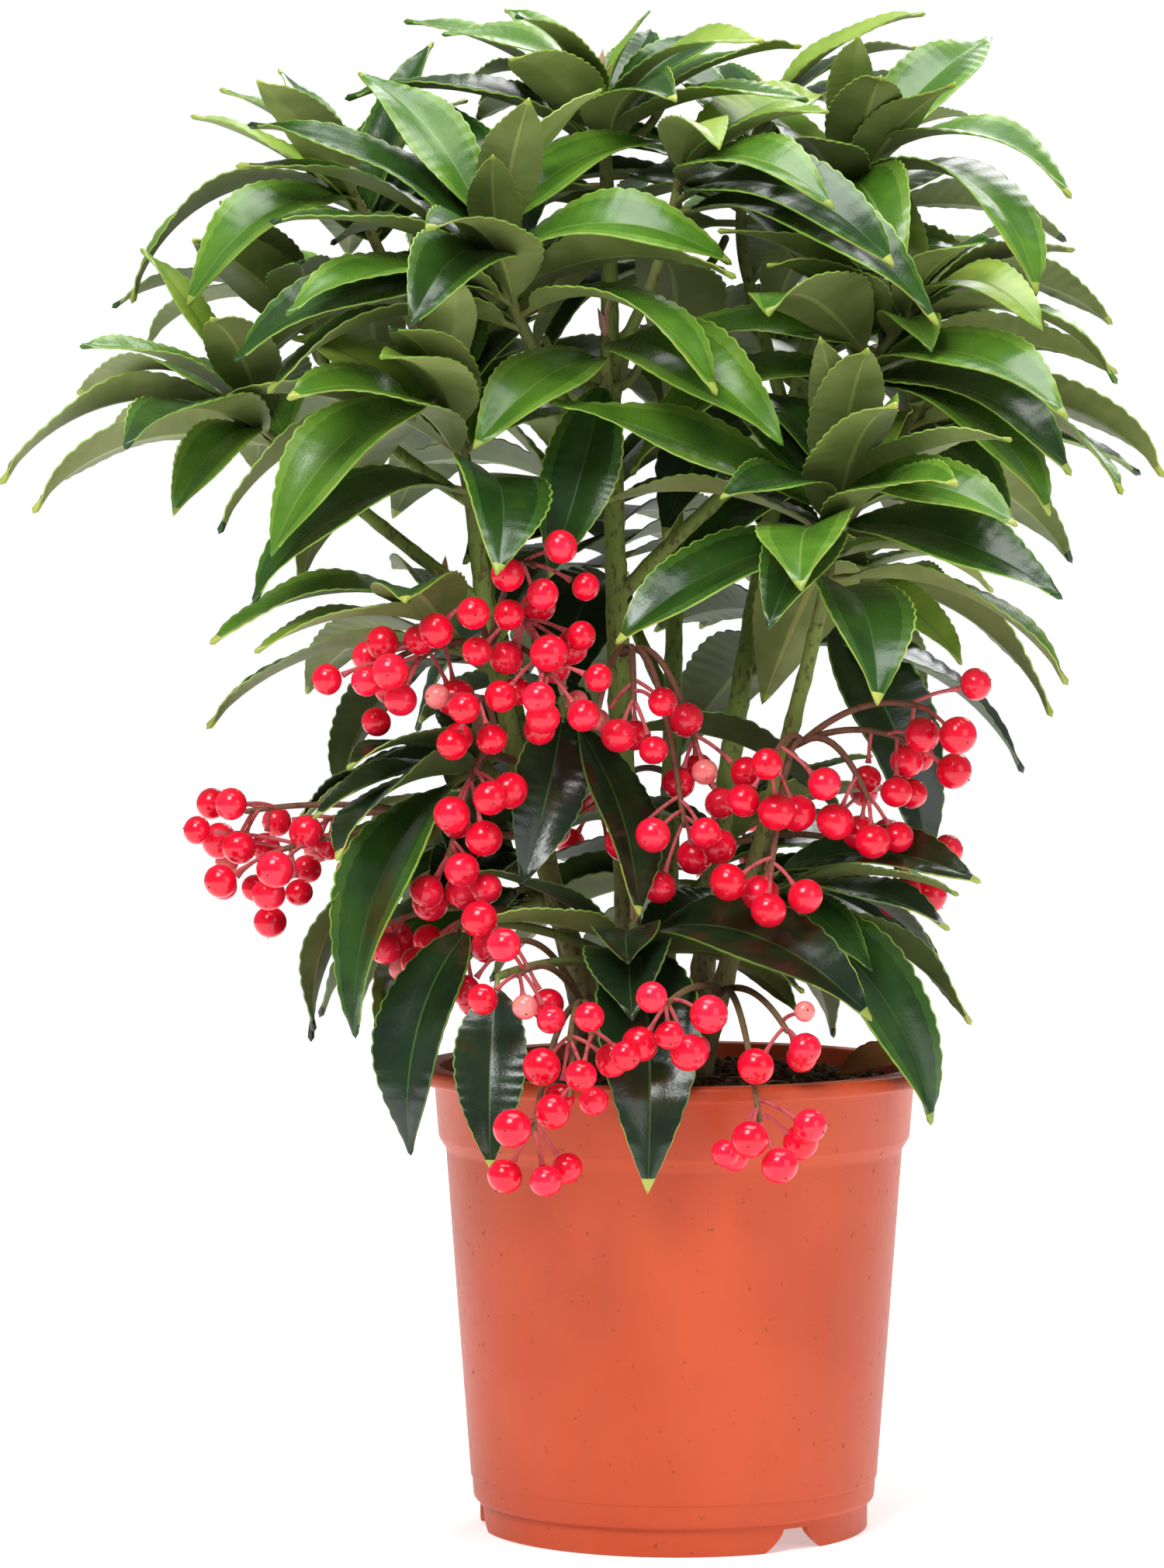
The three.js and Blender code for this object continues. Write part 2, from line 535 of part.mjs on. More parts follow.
const limbs = new Map();
for (const { name, parent, height, start, bend, tip, radii } of LIMBS) {
  const from = parent ? limbs.get(parent) : null;
  const first = from ? from.curve.getPointAt(shareAtHeight(from, height)) : vector(start);
  const limb = makeLimb(first, vector(bend), vector(tip), radii);
  limb.flare = parent ? 0 : STEM_FLARE;
  limbs.set(name, limb);
  addLimbBalls(limb, name);
}

// A mass starts 0.3 mm past its limb's tip and in line with it, or on the axis of the limb that it leaves.
function growTwig(mass) {
  const limb = limbs.get(mass.limb);
  const apex = vector(mass.apex);
  if (mass.height) {
    const start = limb.curve.getPointAt(shareAtHeight(limb, mass.height));
    const bend = new THREE.Vector3(apex.x, apex.y, start.z + (apex.z - start.z) * TWIG_LIFT);
    return makeLimb(start, bend, apex, [TWIG_RADIUS, TWIG_TIP_RADIUS]);
  }
  const direction = limb.curve.getTangentAt(1);
  const start = limb.curve.getPointAt(1).addScaledVector(direction, CLEAR);
  const bend = start.clone().addScaledVector(direction, start.distanceTo(apex) * TWIG_RUN);
  return makeLimb(start, bend, apex, [limb.radii[1], TWIG_TIP_RADIUS]);
}

// A leaf's stalk starts on the twig's axis, and it is tried in a few nearby places before it is left out.
function placeLeaf(mass, parts, base, { bearing, slope, length, droop, roll }, tries) {
  const bounded = tries === RULE_TRIES;
  for (const [turn, lift] of tries) {
    const leaf = makeLeaf(base, bearing + turn, slope + lift, length, droop, roll);
    if (roomForLeaf(leaf, mass.name, bounded)) {
      parts.leaves.push(leaf);
      return;
    }
  }
}

const grown = new Map();
MASSES.forEach((mass, index) => {
  const twig = growTwig(mass);
  addLimbBalls(twig, mass.name);
  const random = makeRandom(SEEDS.mass + SEEDS.massStep * index);
  grown.set(mass.name, { twig, sideTwigs: [], leaves: [], random });
});

// Where leaf k of so many leaves a twig: the youngest is nearest its tip.
function baseOnTwig(twig, k, count) {
  const spacing = Math.min(LEAF_SPACING, (twig.length * ROSETTE_SHARE - TIP_BARE) / Math.max(1, count - 1));
  return twig.curve.getPointAt(1 - (TIP_BARE + k * spacing) / twig.length);
}

// The stalks of the sprays
function growStalks(spray) {
  const limb = limbs.get(spray.limb);
  const start = limb.curve.getPointAt(shareAtHeight(limb, spray.height));
  const centres = spray.umbels.map(([x, y, z]) => new THREE.Vector3(x, y, z));
  const mean = centres.reduce((sum, c) => sum.add(c), new THREE.Vector3()).divideScalar(centres.length);
  const heading = mean.clone().sub(start);
  heading.z = Math.max(heading.z, 0) + STALK_ARCH;
  heading.normalize();
  const fork = start.clone().addScaledVector(heading, STUB_LENGTH);
  const half = start.clone().lerp(fork, 0.5);
  const stub = makeLimb(start, half, fork, [PEDUNCLE_RADIUS * STUB_SWELL, PEDUNCLE_RADIUS]);
  const parts = { stub, peduncles: [], umbels: [] };
  addLimbBalls(stub, spray.name);
  for (const centre of centres) {
    const root = fork.clone().addScaledVector(heading, -PEDUNCLE_RADIUS);
    const bend = root.clone().lerp(centre, 0.5);
    bend.z = Math.max(root.z, centre.z) + STALK_ARCH;
    const peduncle = makeLimb(root, bend, centre, [PEDUNCLE_RADIUS, PEDUNCLE_RADIUS * STALK_TAPER]);
    addLimbBalls(peduncle, spray.name);
    parts.peduncles.push(peduncle);
  }
  return parts;
}

const sprays = new Map(SPRAYS.map((spray) => [spray.name, growStalks(spray)]));

// Leaves set by hand
for (const mass of MASSES) {
  const parts = grown.get(mass.name);
  mass.set.forEach((values, k) => {
    const base = baseOnTwig(parts.twig, k, mass.set.length + mass.leaves);
    placeLeaf(mass, parts, base, aimLeaf(base, values), SET_TRIES);
  });
}

// Berries

// Berries stand round the umbel's axis by the golden angle, and one with no room is left out.
function growUmbel(peduncle, count, random, owner) {
  const centre = peduncle.curve.getPointAt(1);
  const axis = peduncle.curve.getTangentAt(1).multiplyScalar(UMBEL.along);
  axis.z -= UMBEL.hang;
  axis.normalize();
  const side = new THREE.Vector3(0, 0, 1).cross(axis).normalize();
  const front = axis.clone().cross(side);
  const phase = random() * 360;
  const berries = [];
  for (let k = 0; k < count; k += 1) {
    const lean = Math.acos(1 - ((k + 0.5) / count) * UMBEL.spread);
    const turn = radians(phase + k * GOLDEN_ANGLE);
    const reach = between(PEDICEL_LENGTH, random());
    const direction = axis.clone().multiplyScalar(Math.cos(lean))
      .addScaledVector(side, Math.sin(lean) * Math.cos(turn))
      .addScaledVector(front, Math.sin(lean) * Math.sin(turn));
    direction.z -= UMBEL.sag;
    direction.normalize();
    const back = Math.min(0.4, (PEDICEL_START + k * PEDICEL_SPACING) / peduncle.length);
    const root = peduncle.curve.getPointAt(1 - back);
    for (const stretch of PEDICEL_STRETCHES) {
      const point = centre.clone().addScaledVector(direction, reach + stretch);
      if (!roomForBall(point, BERRY_RADIUS, BERRY_GAP, owner)) continue;
      const halfway = root.clone().lerp(point, 0.5);
      if (!roomForBall(halfway, PEDICEL_RADIUS, BERRY_GAP, owner)) continue;
      balls.push({ point, radius: BERRY_RADIUS, owner, berry: true });
      balls.push({ point: halfway, radius: PEDICEL_RADIUS, owner });
      berries.push({ root, point });
      break;
    }
  }
  return berries;
}

SPRAYS.forEach((spray, index) => {
  const random = makeRandom(SEEDS.spray + SEEDS.sprayStep * index);
  const parts = sprays.get(spray.name);
  parts.umbels = spray.umbels.map(([, , , count], number) => (
    growUmbel(parts.peduncles[number], count, random, spray.name)));
});

// Leaves by the rule, from the youngest at the apex to the oldest at the foot of the rosette
for (const mass of MASSES) {
  const parts = grown.get(mass.name);
  const { random, twig } = parts;
  const count = mass.set.length + mass.leaves;
  for (let k = 0; k < mass.leaves; k += 1) {
    const age = k / Math.max(1, mass.leaves - 1);
    const droop = between(DROOP, age) + (random() - 0.5) * DROOP_SPREAD;
    const rise = between(mass.rise ?? RISE, age) + (random() - 0.5) * RISE_SPREAD;
    const share = between([YOUNG_LENGTH, 1], Math.min(1, age / GROWN_AT));
    const length = LEAF_LENGTH * share * between(LENGTH_SPREAD, random());
    const roll = (random() - 0.5) * ROLL_SPREAD;
    const values = { bearing: mass.phase + k * GOLDEN_ANGLE, slope: rise - droop / 2, length, droop, roll };
    placeLeaf(mass, parts, baseOnTwig(twig, k + mass.set.length / 2, count), values, RULE_TRIES);
  }
}

// One short side twig a mass, with a few smaller leaves, where there is room
for (const mass of MASSES) {
  const parts = grown.get(mass.name);
  const { random, twig } = parts;
  const root = twig.curve.getPointAt(between(SIDE_TWIG.from, random()));
  const bearing = random() * 360;
  const reach = between(SIDE_TWIG.reach, random());
  const out = new THREE.Vector3(Math.cos(radians(bearing)), Math.sin(radians(bearing)), 0);
  const tip = root.clone().addScaledVector(out, reach * SIDE_TWIG.out);
  tip.z += reach * SIDE_TWIG.up;
  const bend = root.clone().addScaledVector(out, reach * SIDE_TWIG.bend);
  const sideTwig = makeLimb(root, bend, tip, [TWIG_TIP_RADIUS, TWIG_TIP_RADIUS * STALK_TAPER]);
  const free = SIDE_TESTED.every((share) => (
    roomForBall(sideTwig.curve.getPointAt(share), TWIG_TIP_RADIUS, LIMB_GAP, mass.name)));
  if (!free) continue;
  addLimbBalls(sideTwig, mass.name);
  parts.sideTwigs.push(sideTwig);
  SIDE_LEAVES.forEach(({ rise, droop, length: share }, k) => {
    const roll = (random() - 0.5) * SIDE_ROLL_SPREAD;
    const length = LEAF_LENGTH * share;
    const values = { bearing: bearing + k * GOLDEN_ANGLE, slope: rise - droop / 2, length, droop, roll };
    placeLeaf(mass, parts, baseOnTwig(sideTwig, k, SIDE_LEAVES.length), values, RULE_TRIES);
  });
}

// Building

const STEM = { sides: 6, pitch: 24 };
const BOUGH = { sides: 5, pitch: 13 };
const TWIG = { sides: 3, pitch: 9 };

// Limbs that leave a stem's side are cut clear of it.
function cutFrom(solid, limb) {
  return largestPiece(solid.subtract(limbSolid(limb, STEM.sides, STEM.pitch, CLEAR)));
}

function massSolid(mass) {
  const { twig, sideTwigs, leaves: blades } = grown.get(mass.name);
  let solid = limbSolid(twig, TWIG.sides, TWIG.pitch);
  if (mass.height) solid = cutFrom(solid, limbs.get(mass.limb));
  const pieces = sideTwigs.map((side) => limbSolid(side, TWIG.sides, TWIG.pitch));
  pieces.push(...blades.map(leafSolid));
  return largestPiece(wasm.Manifold.union([solid, ...pieces]));
}

// A berry and its pedicel are one sphere of four meridians: its first rows are drawn out thin to the root.
const BERRY_RINGS = [[-0.45, 1], [0.5, 0.97]]; // [height, radius] as shares of the berry's radius

function berrySolid(root, point) {
  const direction = point.clone().sub(root);
  const reach = direction.length();
  direction.normalize();
  const neck = Math.sqrt(BERRY_RADIUS ** 2 - PEDICEL_RADIUS ** 2);
  const rows = [[-0.2, 0], [0, PEDICEL_RADIUS], [reach - neck, PEDICEL_RADIUS],
    ...BERRY_RINGS.map(([height, radius]) => [reach + height * BERRY_RADIUS, radius * BERRY_RADIUS]),
    [reach + BERRY_RADIUS, 0]];
  const geometry = new THREE.SphereGeometry(1, 4, rows.length - 1);
  const turn = new THREE.Quaternion().setFromUnitVectors(new THREE.Vector3(0, -1, 0), direction);
  const position = geometry.attributes.position;
  for (let i = 0; i < position.count; i += 1) {
    const polar = Math.acos(THREE.MathUtils.clamp(position.getY(i), -1, 1));
    const row = Math.round((polar / Math.PI) * (rows.length - 1));
    const [height, radius] = rows[row];
    const ring = radius === 0 ? 0 : radius / Math.sin(polar);
    const place = new THREE.Vector3(position.getX(i) * ring, 0, position.getZ(i) * ring);
    place.applyQuaternion(turn).add(root).addScaledVector(direction, height);
    position.setXYZ(i, place.x, place.y, place.z);
  }
  return toSolid(geometry);
}

function spraySolid(spray) {
  const { stub, peduncles, umbels } = sprays.get(spray.name);
  const stalk = cutFrom(limbSolid(stub, TWIG.sides, TWIG.pitch), limbs.get(spray.limb));
  const pieces = peduncles.map((peduncle) => limbSolid(peduncle, TWIG.sides, STEM.pitch));
  pieces.push(...umbels.flat().map(({ root, point }) => berrySolid(root, point)));
  return largestPiece(wasm.Manifold.union([stalk, ...pieces]));
}

// A profile of [radius, height] from the axis, out and round, and back to the axis
function turned(profile) {
  const points = profile.map(([radius, height]) => new THREE.Vector2(radius, height));
  const geometry = new THREE.LatheGeometry(points, POT_SIDES);
  geometry.rotateX(Math.PI / 2);
  return toSolid(geometry);
}

function potSolid() {
  const rimUnderside = POT_HEIGHT - RIM_HEIGHT;
  const body = turned([
    [0, 0], [PAD_RADIUS, 0], [PAD_RADIUS + 2, FLOOR_UNDERSIDE],
    [FOOT_RADIUS - WALL - 1, FLOOR_UNDERSIDE], [FOOT_RADIUS - WALL, 0], [FOOT_RADIUS, 0],
    [FOOT_RADIUS, FOOT_HEIGHT], [BODY_FOOT_RADIUS - 1, FOOT_HEIGHT], [BODY_FOOT_RADIUS, FOOT_HEIGHT + 2],
    [BODY_TOP_RADIUS, STEP_HEIGHT], [BODY_TOP_RADIUS + 2, STEP_HEIGHT + 3],
    [BAND_RADIUS, rimUnderside], [RIM_RADIUS, rimUnderside], [RIM_RADIUS, POT_HEIGHT - 1],
    [RIM_RADIUS - 1, POT_HEIGHT], [BAND_RADIUS - WALL, POT_HEIGHT],
    [BODY_TOP_RADIUS + 2 - WALL, STEP_HEIGHT + 3], [BODY_TOP_RADIUS - WALL, STEP_HEIGHT],
    [BODY_FOOT_RADIUS - WALL, FLOOR_UNDERSIDE + WALL], [0, FLOOR_UNDERSIDE + WALL],
  ]);
  return Array.from({ length: NOTCH.count }, (_, k) => notchSolid(NOTCH.first + (k * 360) / NOTCH.count))
    .reduce((solid, notch) => solid.subtract(notch), body);
}

// A notch is a trapezoid, wide at the ground, cut through the foot.
function notchSolid(bearing) {
  const depth = 12;
  const inner = FOOT_RADIUS - 6;
  const outline = new THREE.Shape([
    new THREE.Vector2(-NOTCH.foot / 2, -1), new THREE.Vector2(NOTCH.foot / 2, -1),
    new THREE.Vector2(NOTCH.top / 2, FLOOR_UNDERSIDE), new THREE.Vector2(-NOTCH.top / 2, FLOOR_UNDERSIDE),
  ]);
  const geometry = new THREE.ExtrudeGeometry(outline, { depth, bevelEnabled: false });
  geometry.rotateX(Math.PI / 2);
  geometry.translate(0, -inner, 0);
  geometry.rotateZ(radians(bearing + 90));
  return toSolid(mergeVertices(geometry));
}

function soilSolid() {
  const inside = WALL + CLEAR;
  return turned([
    [0, FLOOR_UNDERSIDE + inside], [BODY_FOOT_RADIUS - inside, FLOOR_UNDERSIDE + inside],
    [BODY_TOP_RADIUS - inside, STEP_HEIGHT], [BODY_TOP_RADIUS + 2 - inside, STEP_HEIGHT + 3],
    [BODY_TOP_RADIUS + 2 - inside, SOIL_EDGE], [SOIL_FLAT_RADIUS, SOIL_TOP], [0, SOIL_TOP],
  ]);
}

// A stem ends in a level cut on the soil.
function stemSolid(limb) {
  const side = 40;
  const block = new THREE.BoxGeometry(side, side, side);
  const start = limb.curve.getPointAt(0);
  block.translate(start.x, start.y, SOIL_TOP + CLEAR - side / 2);
  return limbSolid(limb, STEM.sides, STEM.pitch).subtract(toSolid(block));
}

const plant = new THREE.Group();
plant.name = 'coral_ardisia';

function addMesh(name, solid, look) {
  const material = new THREE.MeshStandardMaterial({ ...look, metalness: 0 });
  const mesh = new THREE.Mesh(toGeometry(solid), material);
  mesh.name = name;
  plant.add(mesh);
}

addMesh('pot', potSolid(), COLOURS.pot);
addMesh('soil', soilSolid(), COLOURS.soil);
for (const { name, parent } of LIMBS) {
  const limb = limbs.get(name);
  const bough = parent && cutFrom(limbSolid(limb, BOUGH.sides, BOUGH.pitch), limbs.get(parent));
  addMesh(name, bough ?? stemSolid(limb), COLOURS.bark);
}
for (const mass of MASSES) addMesh(mass.name, massSolid(mass), COLOURS.leaf);
for (const spray of SPRAYS) addMesh(spray.name, spraySolid(spray), COLOURS.berry);

export default plant;
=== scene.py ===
# %% [markdown]
# # A coral ardisia in a plastic pot
# The real plant is a small evergreen shrub, sold in a 15 cm pot. Several woody stems stand on the
# soil, each shoot ends in a rosette of arching leaves, and red berries hang under the crown.
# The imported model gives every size. It is loaded first and is never changed. Each of its plain
# solids is then covered by a finer piece in the same place.

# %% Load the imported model
import math

import bpy
import numpy as np
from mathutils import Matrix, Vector, noise


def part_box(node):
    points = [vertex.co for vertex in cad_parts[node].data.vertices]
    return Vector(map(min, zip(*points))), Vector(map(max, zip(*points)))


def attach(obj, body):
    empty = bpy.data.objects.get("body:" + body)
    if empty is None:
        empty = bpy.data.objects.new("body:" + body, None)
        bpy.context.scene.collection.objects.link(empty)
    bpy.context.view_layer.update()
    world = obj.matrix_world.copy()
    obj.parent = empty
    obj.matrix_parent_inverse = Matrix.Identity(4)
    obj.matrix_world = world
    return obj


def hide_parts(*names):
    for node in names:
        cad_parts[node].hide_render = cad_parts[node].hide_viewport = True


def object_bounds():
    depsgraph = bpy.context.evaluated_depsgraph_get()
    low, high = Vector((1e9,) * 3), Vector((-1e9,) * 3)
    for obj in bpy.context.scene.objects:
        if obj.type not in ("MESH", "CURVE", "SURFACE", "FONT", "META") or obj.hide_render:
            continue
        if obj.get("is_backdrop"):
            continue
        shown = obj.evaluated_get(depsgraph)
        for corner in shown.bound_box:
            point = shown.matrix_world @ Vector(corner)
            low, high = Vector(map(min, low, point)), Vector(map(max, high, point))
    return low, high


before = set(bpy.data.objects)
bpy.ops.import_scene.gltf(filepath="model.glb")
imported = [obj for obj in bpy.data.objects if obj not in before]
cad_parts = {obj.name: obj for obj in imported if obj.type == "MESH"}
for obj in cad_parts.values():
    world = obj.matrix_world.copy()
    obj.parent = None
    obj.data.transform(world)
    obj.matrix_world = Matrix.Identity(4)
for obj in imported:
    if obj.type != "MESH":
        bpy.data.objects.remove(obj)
cad_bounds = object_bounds()
MM = 0.001
CAD_LOW, CAD_HIGH = (np.array(corner) / MM for corner in cad_bounds)
print("nodes loaded:", len(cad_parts), "size in mm:", np.round(CAD_HIGH - CAD_LOW, 1))

# %% [markdown]
# ## Camera and studio
# The plant was seen from a little above the middle of its crown, from far enough away that the
# pot's rim is a thin ellipse. A long lens at that distance gives the same view. The light is a
# plain studio: a white surround, a large soft lamp high at the front left, another overhead, and
# weaker ones at the right and behind.


# %% Camera
def add_object(name, data):
    """A new object of the scene, at the origin."""
    made = bpy.data.objects.new(name, data)
    bpy.context.scene.collection.objects.link(made)
    return made


def add_aimed(name, data, place, aim):
    """An object that looks from its place at a point, as a camera or a lamp does."""
    made = add_object(name, data)
    made.location = place
    made.rotation_euler = (aim - Vector(place)).to_track_quat("-Z", "Y").to_euler()
    return made


EYE = Vector((-0.0266, -1.650, 0.290))
AIM = Vector((-0.0266, 0.0, 0.2148))
camera_lens = bpy.data.cameras.new("camera")
camera_lens.lens = 131.4
camera_lens.clip_start = 0.05
bpy.context.scene.camera = add_aimed("camera", camera_lens, EYE, AIM)
bpy.context.scene.view_settings.view_transform = "Standard"
print("camera distance in m:", round((AIM - EYE).length, 3))


# %% Lamps and surround
LIT_POINT = Vector((0, 0, 0.22))


def soft_lamp(name, place, watts, side):
    lamp = bpy.data.lights.new(name, "AREA")
    lamp.shape = "SQUARE"
    lamp.size = side
    lamp.energy = watts
    add_aimed(name, lamp, place, LIT_POINT)


soft_lamp("key_lamp", (-0.75, -1.65, 2.0), 47, 1.0)
soft_lamp("top_lamp", (0.1, -0.1, 1.9), 30, 1.2)
soft_lamp("fill_lamp", (1.5, -1.4, 0.7), 8, 1.2)
soft_lamp("back_lamp", (0.6, 1.6, 1.6), 18, 1.0)

# %% [markdown]
# ## A small language for materials
# A finish is a few nodes: a base colour that drifts between two near tints, a roughness that
# drifts with it, and a bump. Node by node in the editor that is slow to read, so a number that
# varies over the surface is wrapped in a small class, and plain arithmetic on it adds the nodes.


# %% Numbers that vary over a surface
class Signal:
    """A number that varies over a surface. Arithmetic on it adds Math nodes."""

    def __init__(self, book, socket):
        self.book = book
        self.socket = socket

    def math(self, operation, first, second):
        node = self.book.add("ShaderNodeMath", {"operation": operation}, {0: first, 1: second})
        return Signal(self.book, node.outputs[0])

    def __add__(self, other):
        return self.math("ADD", self, other)

    def __sub__(self, other):
        return self.math("SUBTRACT", self, other)

    def __mul__(self, other):
        return self.math("MULTIPLY", self, other)

    def __rsub__(self, other):
        return self.math("SUBTRACT", other, self)

    __radd__ = __add__
    __rmul__ = __mul__


class Book:
    """Adds nodes to a tree: the type, its settings first, then the values or links of its sockets."""

    def __init__(self, tree):
        self.tree = tree

    def add(self, kind, settings=None, sockets=None):
        node = self.tree.nodes.new(kind)
        for key, value in (settings or {}).items():
            setattr(node, key, value)
        for key, value in (sockets or {}).items():
            value = value.socket if isinstance(value, Signal) else value
            if isinstance(value, bpy.types.NodeSocket):
                self.tree.links.new(value, node.inputs[key])
            else:
                node.inputs[key].default_value = value
        return node


print("a signal can be added to, subtracted and multiplied")


# %% Surround
class Surround(Book):
    """A white backdrop. It shows brighter to the camera than it lights the plant."""

    def __init__(self, light, shown):
        self.world = bpy.data.worlds.new("surround")
        self.world.use_nodes = True
        super().__init__(self.world.node_tree)
        backdrop = self.tree.nodes["Background"]
        backdrop.inputs["Color"].default_value = (1, 1, 1, 1)
        path = self.add("ShaderNodeLightPath").outputs["Is Camera Ray"]
        strength = self.add("ShaderNodeMapRange", None, {"Value": path, "To Min": light, "To Max": shown})
        self.tree.links.new(strength.outputs["Result"], backdrop.inputs["Strength"])


bpy.context.scene.world = Surround(light=0.26, shown=1.0).world
print("surround nodes:", len(bpy.context.scene.world.node_tree.nodes))


# %% A finish from tints, grain and bump
def tint(red, green, blue):
    """A colour given as on a screen, from 0 to 255, in the linear values that a shader takes."""
    shares = [value / 255 for value in (red, green, blue)]
    return (*[s / 12.92 if s < 0.04045 else ((s + 0.055) / 1.055) ** 2.4 for s in shares], 1.0)


class Finish(Book):
    """A material. Patterns are laid by Object coordinates, and their grain is given in millimetres."""

    def __init__(self, name, **constants):
        self.material = bpy.data.materials.new(name)
        self.material.use_nodes = True
        super().__init__(self.material.node_tree)
        self.shader = self.tree.nodes["Principled BSDF"]
        self.place = self.add("ShaderNodeTexCoord").outputs["Object"]
        for key, value in constants.items():
            self.shader.inputs[key.replace("_", " ").title().replace("Ior", "IOR")].default_value = value

    def grain(self, size, detail=2.0, stretch=(1, 1, 1)):
        """Cloudy noise from 0 to 1, whose patches are about so many millimetres wide."""
        scale = tuple(1 / (size * MM * share) for share in stretch)
        laid = self.add("ShaderNodeMapping", None, {"Vector": self.place, "Scale": scale})
        node = self.add("ShaderNodeTexNoise", None,
                        {"Vector": laid.outputs[0], "Scale": 1.0, "Detail": detail})
        return Signal(self, node.outputs["Fac"])

    def step(self, signal, low, high):
        """0 below low and 1 above high."""
        node = self.add("ShaderNodeMapRange", {"interpolation_type": "SMOOTHSTEP"},
                        {"Value": signal, "From Min": low, "From Max": high})
        return Signal(self, node.outputs["Result"])

    def height(self):
        """How high the point is, in millimetres."""
        node = self.add("ShaderNodeSeparateXYZ", None, {"Vector": self.place})
        return Signal(self, node.outputs["Z"]) * (1 / MM)

    def blend(self, first, second, share):
        node = self.add("ShaderNodeMix", {"data_type": "RGBA"}, {0: share, 6: first, 7: second})
        return node.outputs[2]

    def paint(self, colour, rough, bump=None, depth=0.1):
        """Links the colour, the roughness and a bump whose depth is in millimetres."""
        self.tree.links.new(colour, self.shader.inputs["Base Color"])
        self.tree.links.new(rough.socket, self.shader.inputs["Roughness"])
        if bump:
            raised = self.add("ShaderNodeBump", None, {"Height": bump, "Distance": depth * MM})
            self.tree.links.new(raised.outputs[0], self.shader.inputs["Normal"])
        return self.material


print("a mid grey in linear values:", round(tint(128, 128, 128)[0], 3))

# %% [markdown]
# ## Finishes
# Leaves are glossy and dark above and matt and paler below, with a light midrib and a light margin.
# The paler underside is partly the leaf's own colour and partly painted light shining through it.
# Leaves low or inside the crown take darker copies of these finishes, which are painted shade.
# Their colours that have a place, such as the margin, are materials of their own on the leaf's
# faces. The rest drifts softly. The pot is satin plastic with a few specks of dirt, the soil is
# fibrous peat, and the bark is olive with brown specks.


# %% Leaf, stalk and bud finishes
def leaf_finish(name, dark, light, rough, depth=0.05):
    finish = Finish(name)
    drift = finish.step(finish.grain(16), 0.35, 0.65)
    fine = finish.grain(0.9, 3)
    colour = finish.blend(tint(*dark), tint(*light), drift * 0.75 + fine * 0.25)
    return finish.paint(colour, rough + (fine - 0.5) * 0.12, fine, depth)


LEAF_FINISHES = [
    # Painted shade: the deepest top, the deepest underside and the dark margin are darker copies for leaves
    # low or inside the crown.
    leaf_finish("leaf_top_deep", (16, 32, 18), (28, 50, 24), 0.22),
    leaf_finish("leaf_top_dark", (26, 54, 16), (44, 80, 24), 0.25),
    leaf_finish("leaf_top_mid", (58, 100, 26), (84, 126, 34), 0.27),
    leaf_finish("leaf_top_young", (112, 146, 50), (144, 168, 66), 0.36),
    leaf_finish("leaf_edge_dark", (44, 80, 24), (62, 100, 32), 0.28),
    leaf_finish("leaf_edge_mid", (84, 124, 38), (108, 146, 50), 0.30),
    leaf_finish("leaf_margin_dark", (70, 106, 38), (104, 138, 54), 0.40, 0.12),
    leaf_finish("leaf_margin_light", (122, 160, 54), (154, 188, 78), 0.42, 0.12),
    leaf_finish("leaf_midrib_dark", (40, 70, 28), (58, 92, 38), 0.34),
    leaf_finish("leaf_midrib_light", (84, 122, 42), (112, 146, 58), 0.38),
    leaf_finish("leaf_tip", (130, 150, 56), (172, 180, 78), 0.42),
    leaf_finish("leaf_under_deep", (74, 92, 46), (98, 114, 60), 0.55),
    # The underside tints are partly the leaf's own paler back and partly painted light shining through the
    # leaf.
    leaf_finish("leaf_under", (110, 124, 62), (136, 146, 82), 0.55),
    leaf_finish("leaf_under_pale", (138, 152, 82), (162, 174, 104), 0.55),
    leaf_finish("leaf_ridge", (142, 150, 80), (168, 172, 104), 0.50),
    leaf_finish("leaf_stalk", (118, 128, 66), (146, 142, 84), 0.50),
    leaf_finish("bud", (176, 140, 104), (206, 150, 132), 0.55),
    leaf_finish("dry_leaf", (116, 74, 42), (168, 118, 70), 0.75, 0.2),
]
SLOT_OF = {finish.name: number for number, finish in enumerate(LEAF_FINISHES)}
print("leaf finishes:", len(LEAF_FINISHES))


# %% Bark, twig and berry finishes
def bark_finish(name, low_colour, high_colour, speck, from_height, to_height, relief):
    """Bark that turns from one colour to another as it rises, with specks of a third."""
    finish = Finish(name)
    rise = finish.step(finish.height() + finish.grain(14) * 40, from_height, to_height)
    base = finish.blend(tint(*low_colour), tint(*high_colour), rise)
    specks = finish.step(finish.grain(1.6, 3, (1, 1, 2)), 0.54, 0.66)
    colour = finish.blend(base, tint(*speck), specks * 0.75)
    rough_bark = finish.grain(0.8, 4, (1, 1, 2.5))
    return finish.paint(colour, 0.62 + rough_bark * 0.25, rough_bark + specks * 0.5, relief)


STEM_FINISH = bark_finish("stem_bark", (128, 114, 76), (116, 134, 58), (82, 66, 42), 160, 250, 0.35)
TWIG_FINISH = bark_finish("young_twig", (108, 122, 60), (122, 128, 66), (104, 66, 48), 240, 420, 0.15)
STALK_FINISH = bark_finish("berry_stalk", (118, 94, 58), (116, 72, 54), (88, 50, 42), 150, 260, 0.1)
PEDICEL_FINISH = bark_finish("pedicel", (186, 78, 82), (198, 90, 94), (150, 46, 60), 130, 260, 0.05)


def berry_finish(name, deep, bright):
    finish = Finish(name, specular_ior_level=0.5)
    drift = finish.step(finish.grain(5), 0.3, 0.7)
    colour = finish.blend(tint(*deep), tint(*bright), drift)
    return finish.paint(colour, 0.13 + finish.grain(1.2) * 0.08, finish.grain(0.7, 3), 0.01)


BERRY_FINISHES = [
    berry_finish("berry_ripe", (222, 6, 40), (238, 15, 52)),
    berry_finish("berry_bright", (240, 15, 49), (250, 32, 66)),
    berry_finish("berry_pink", (222, 96, 100), (232, 132, 126)),
]
print("bark and berry finishes made")

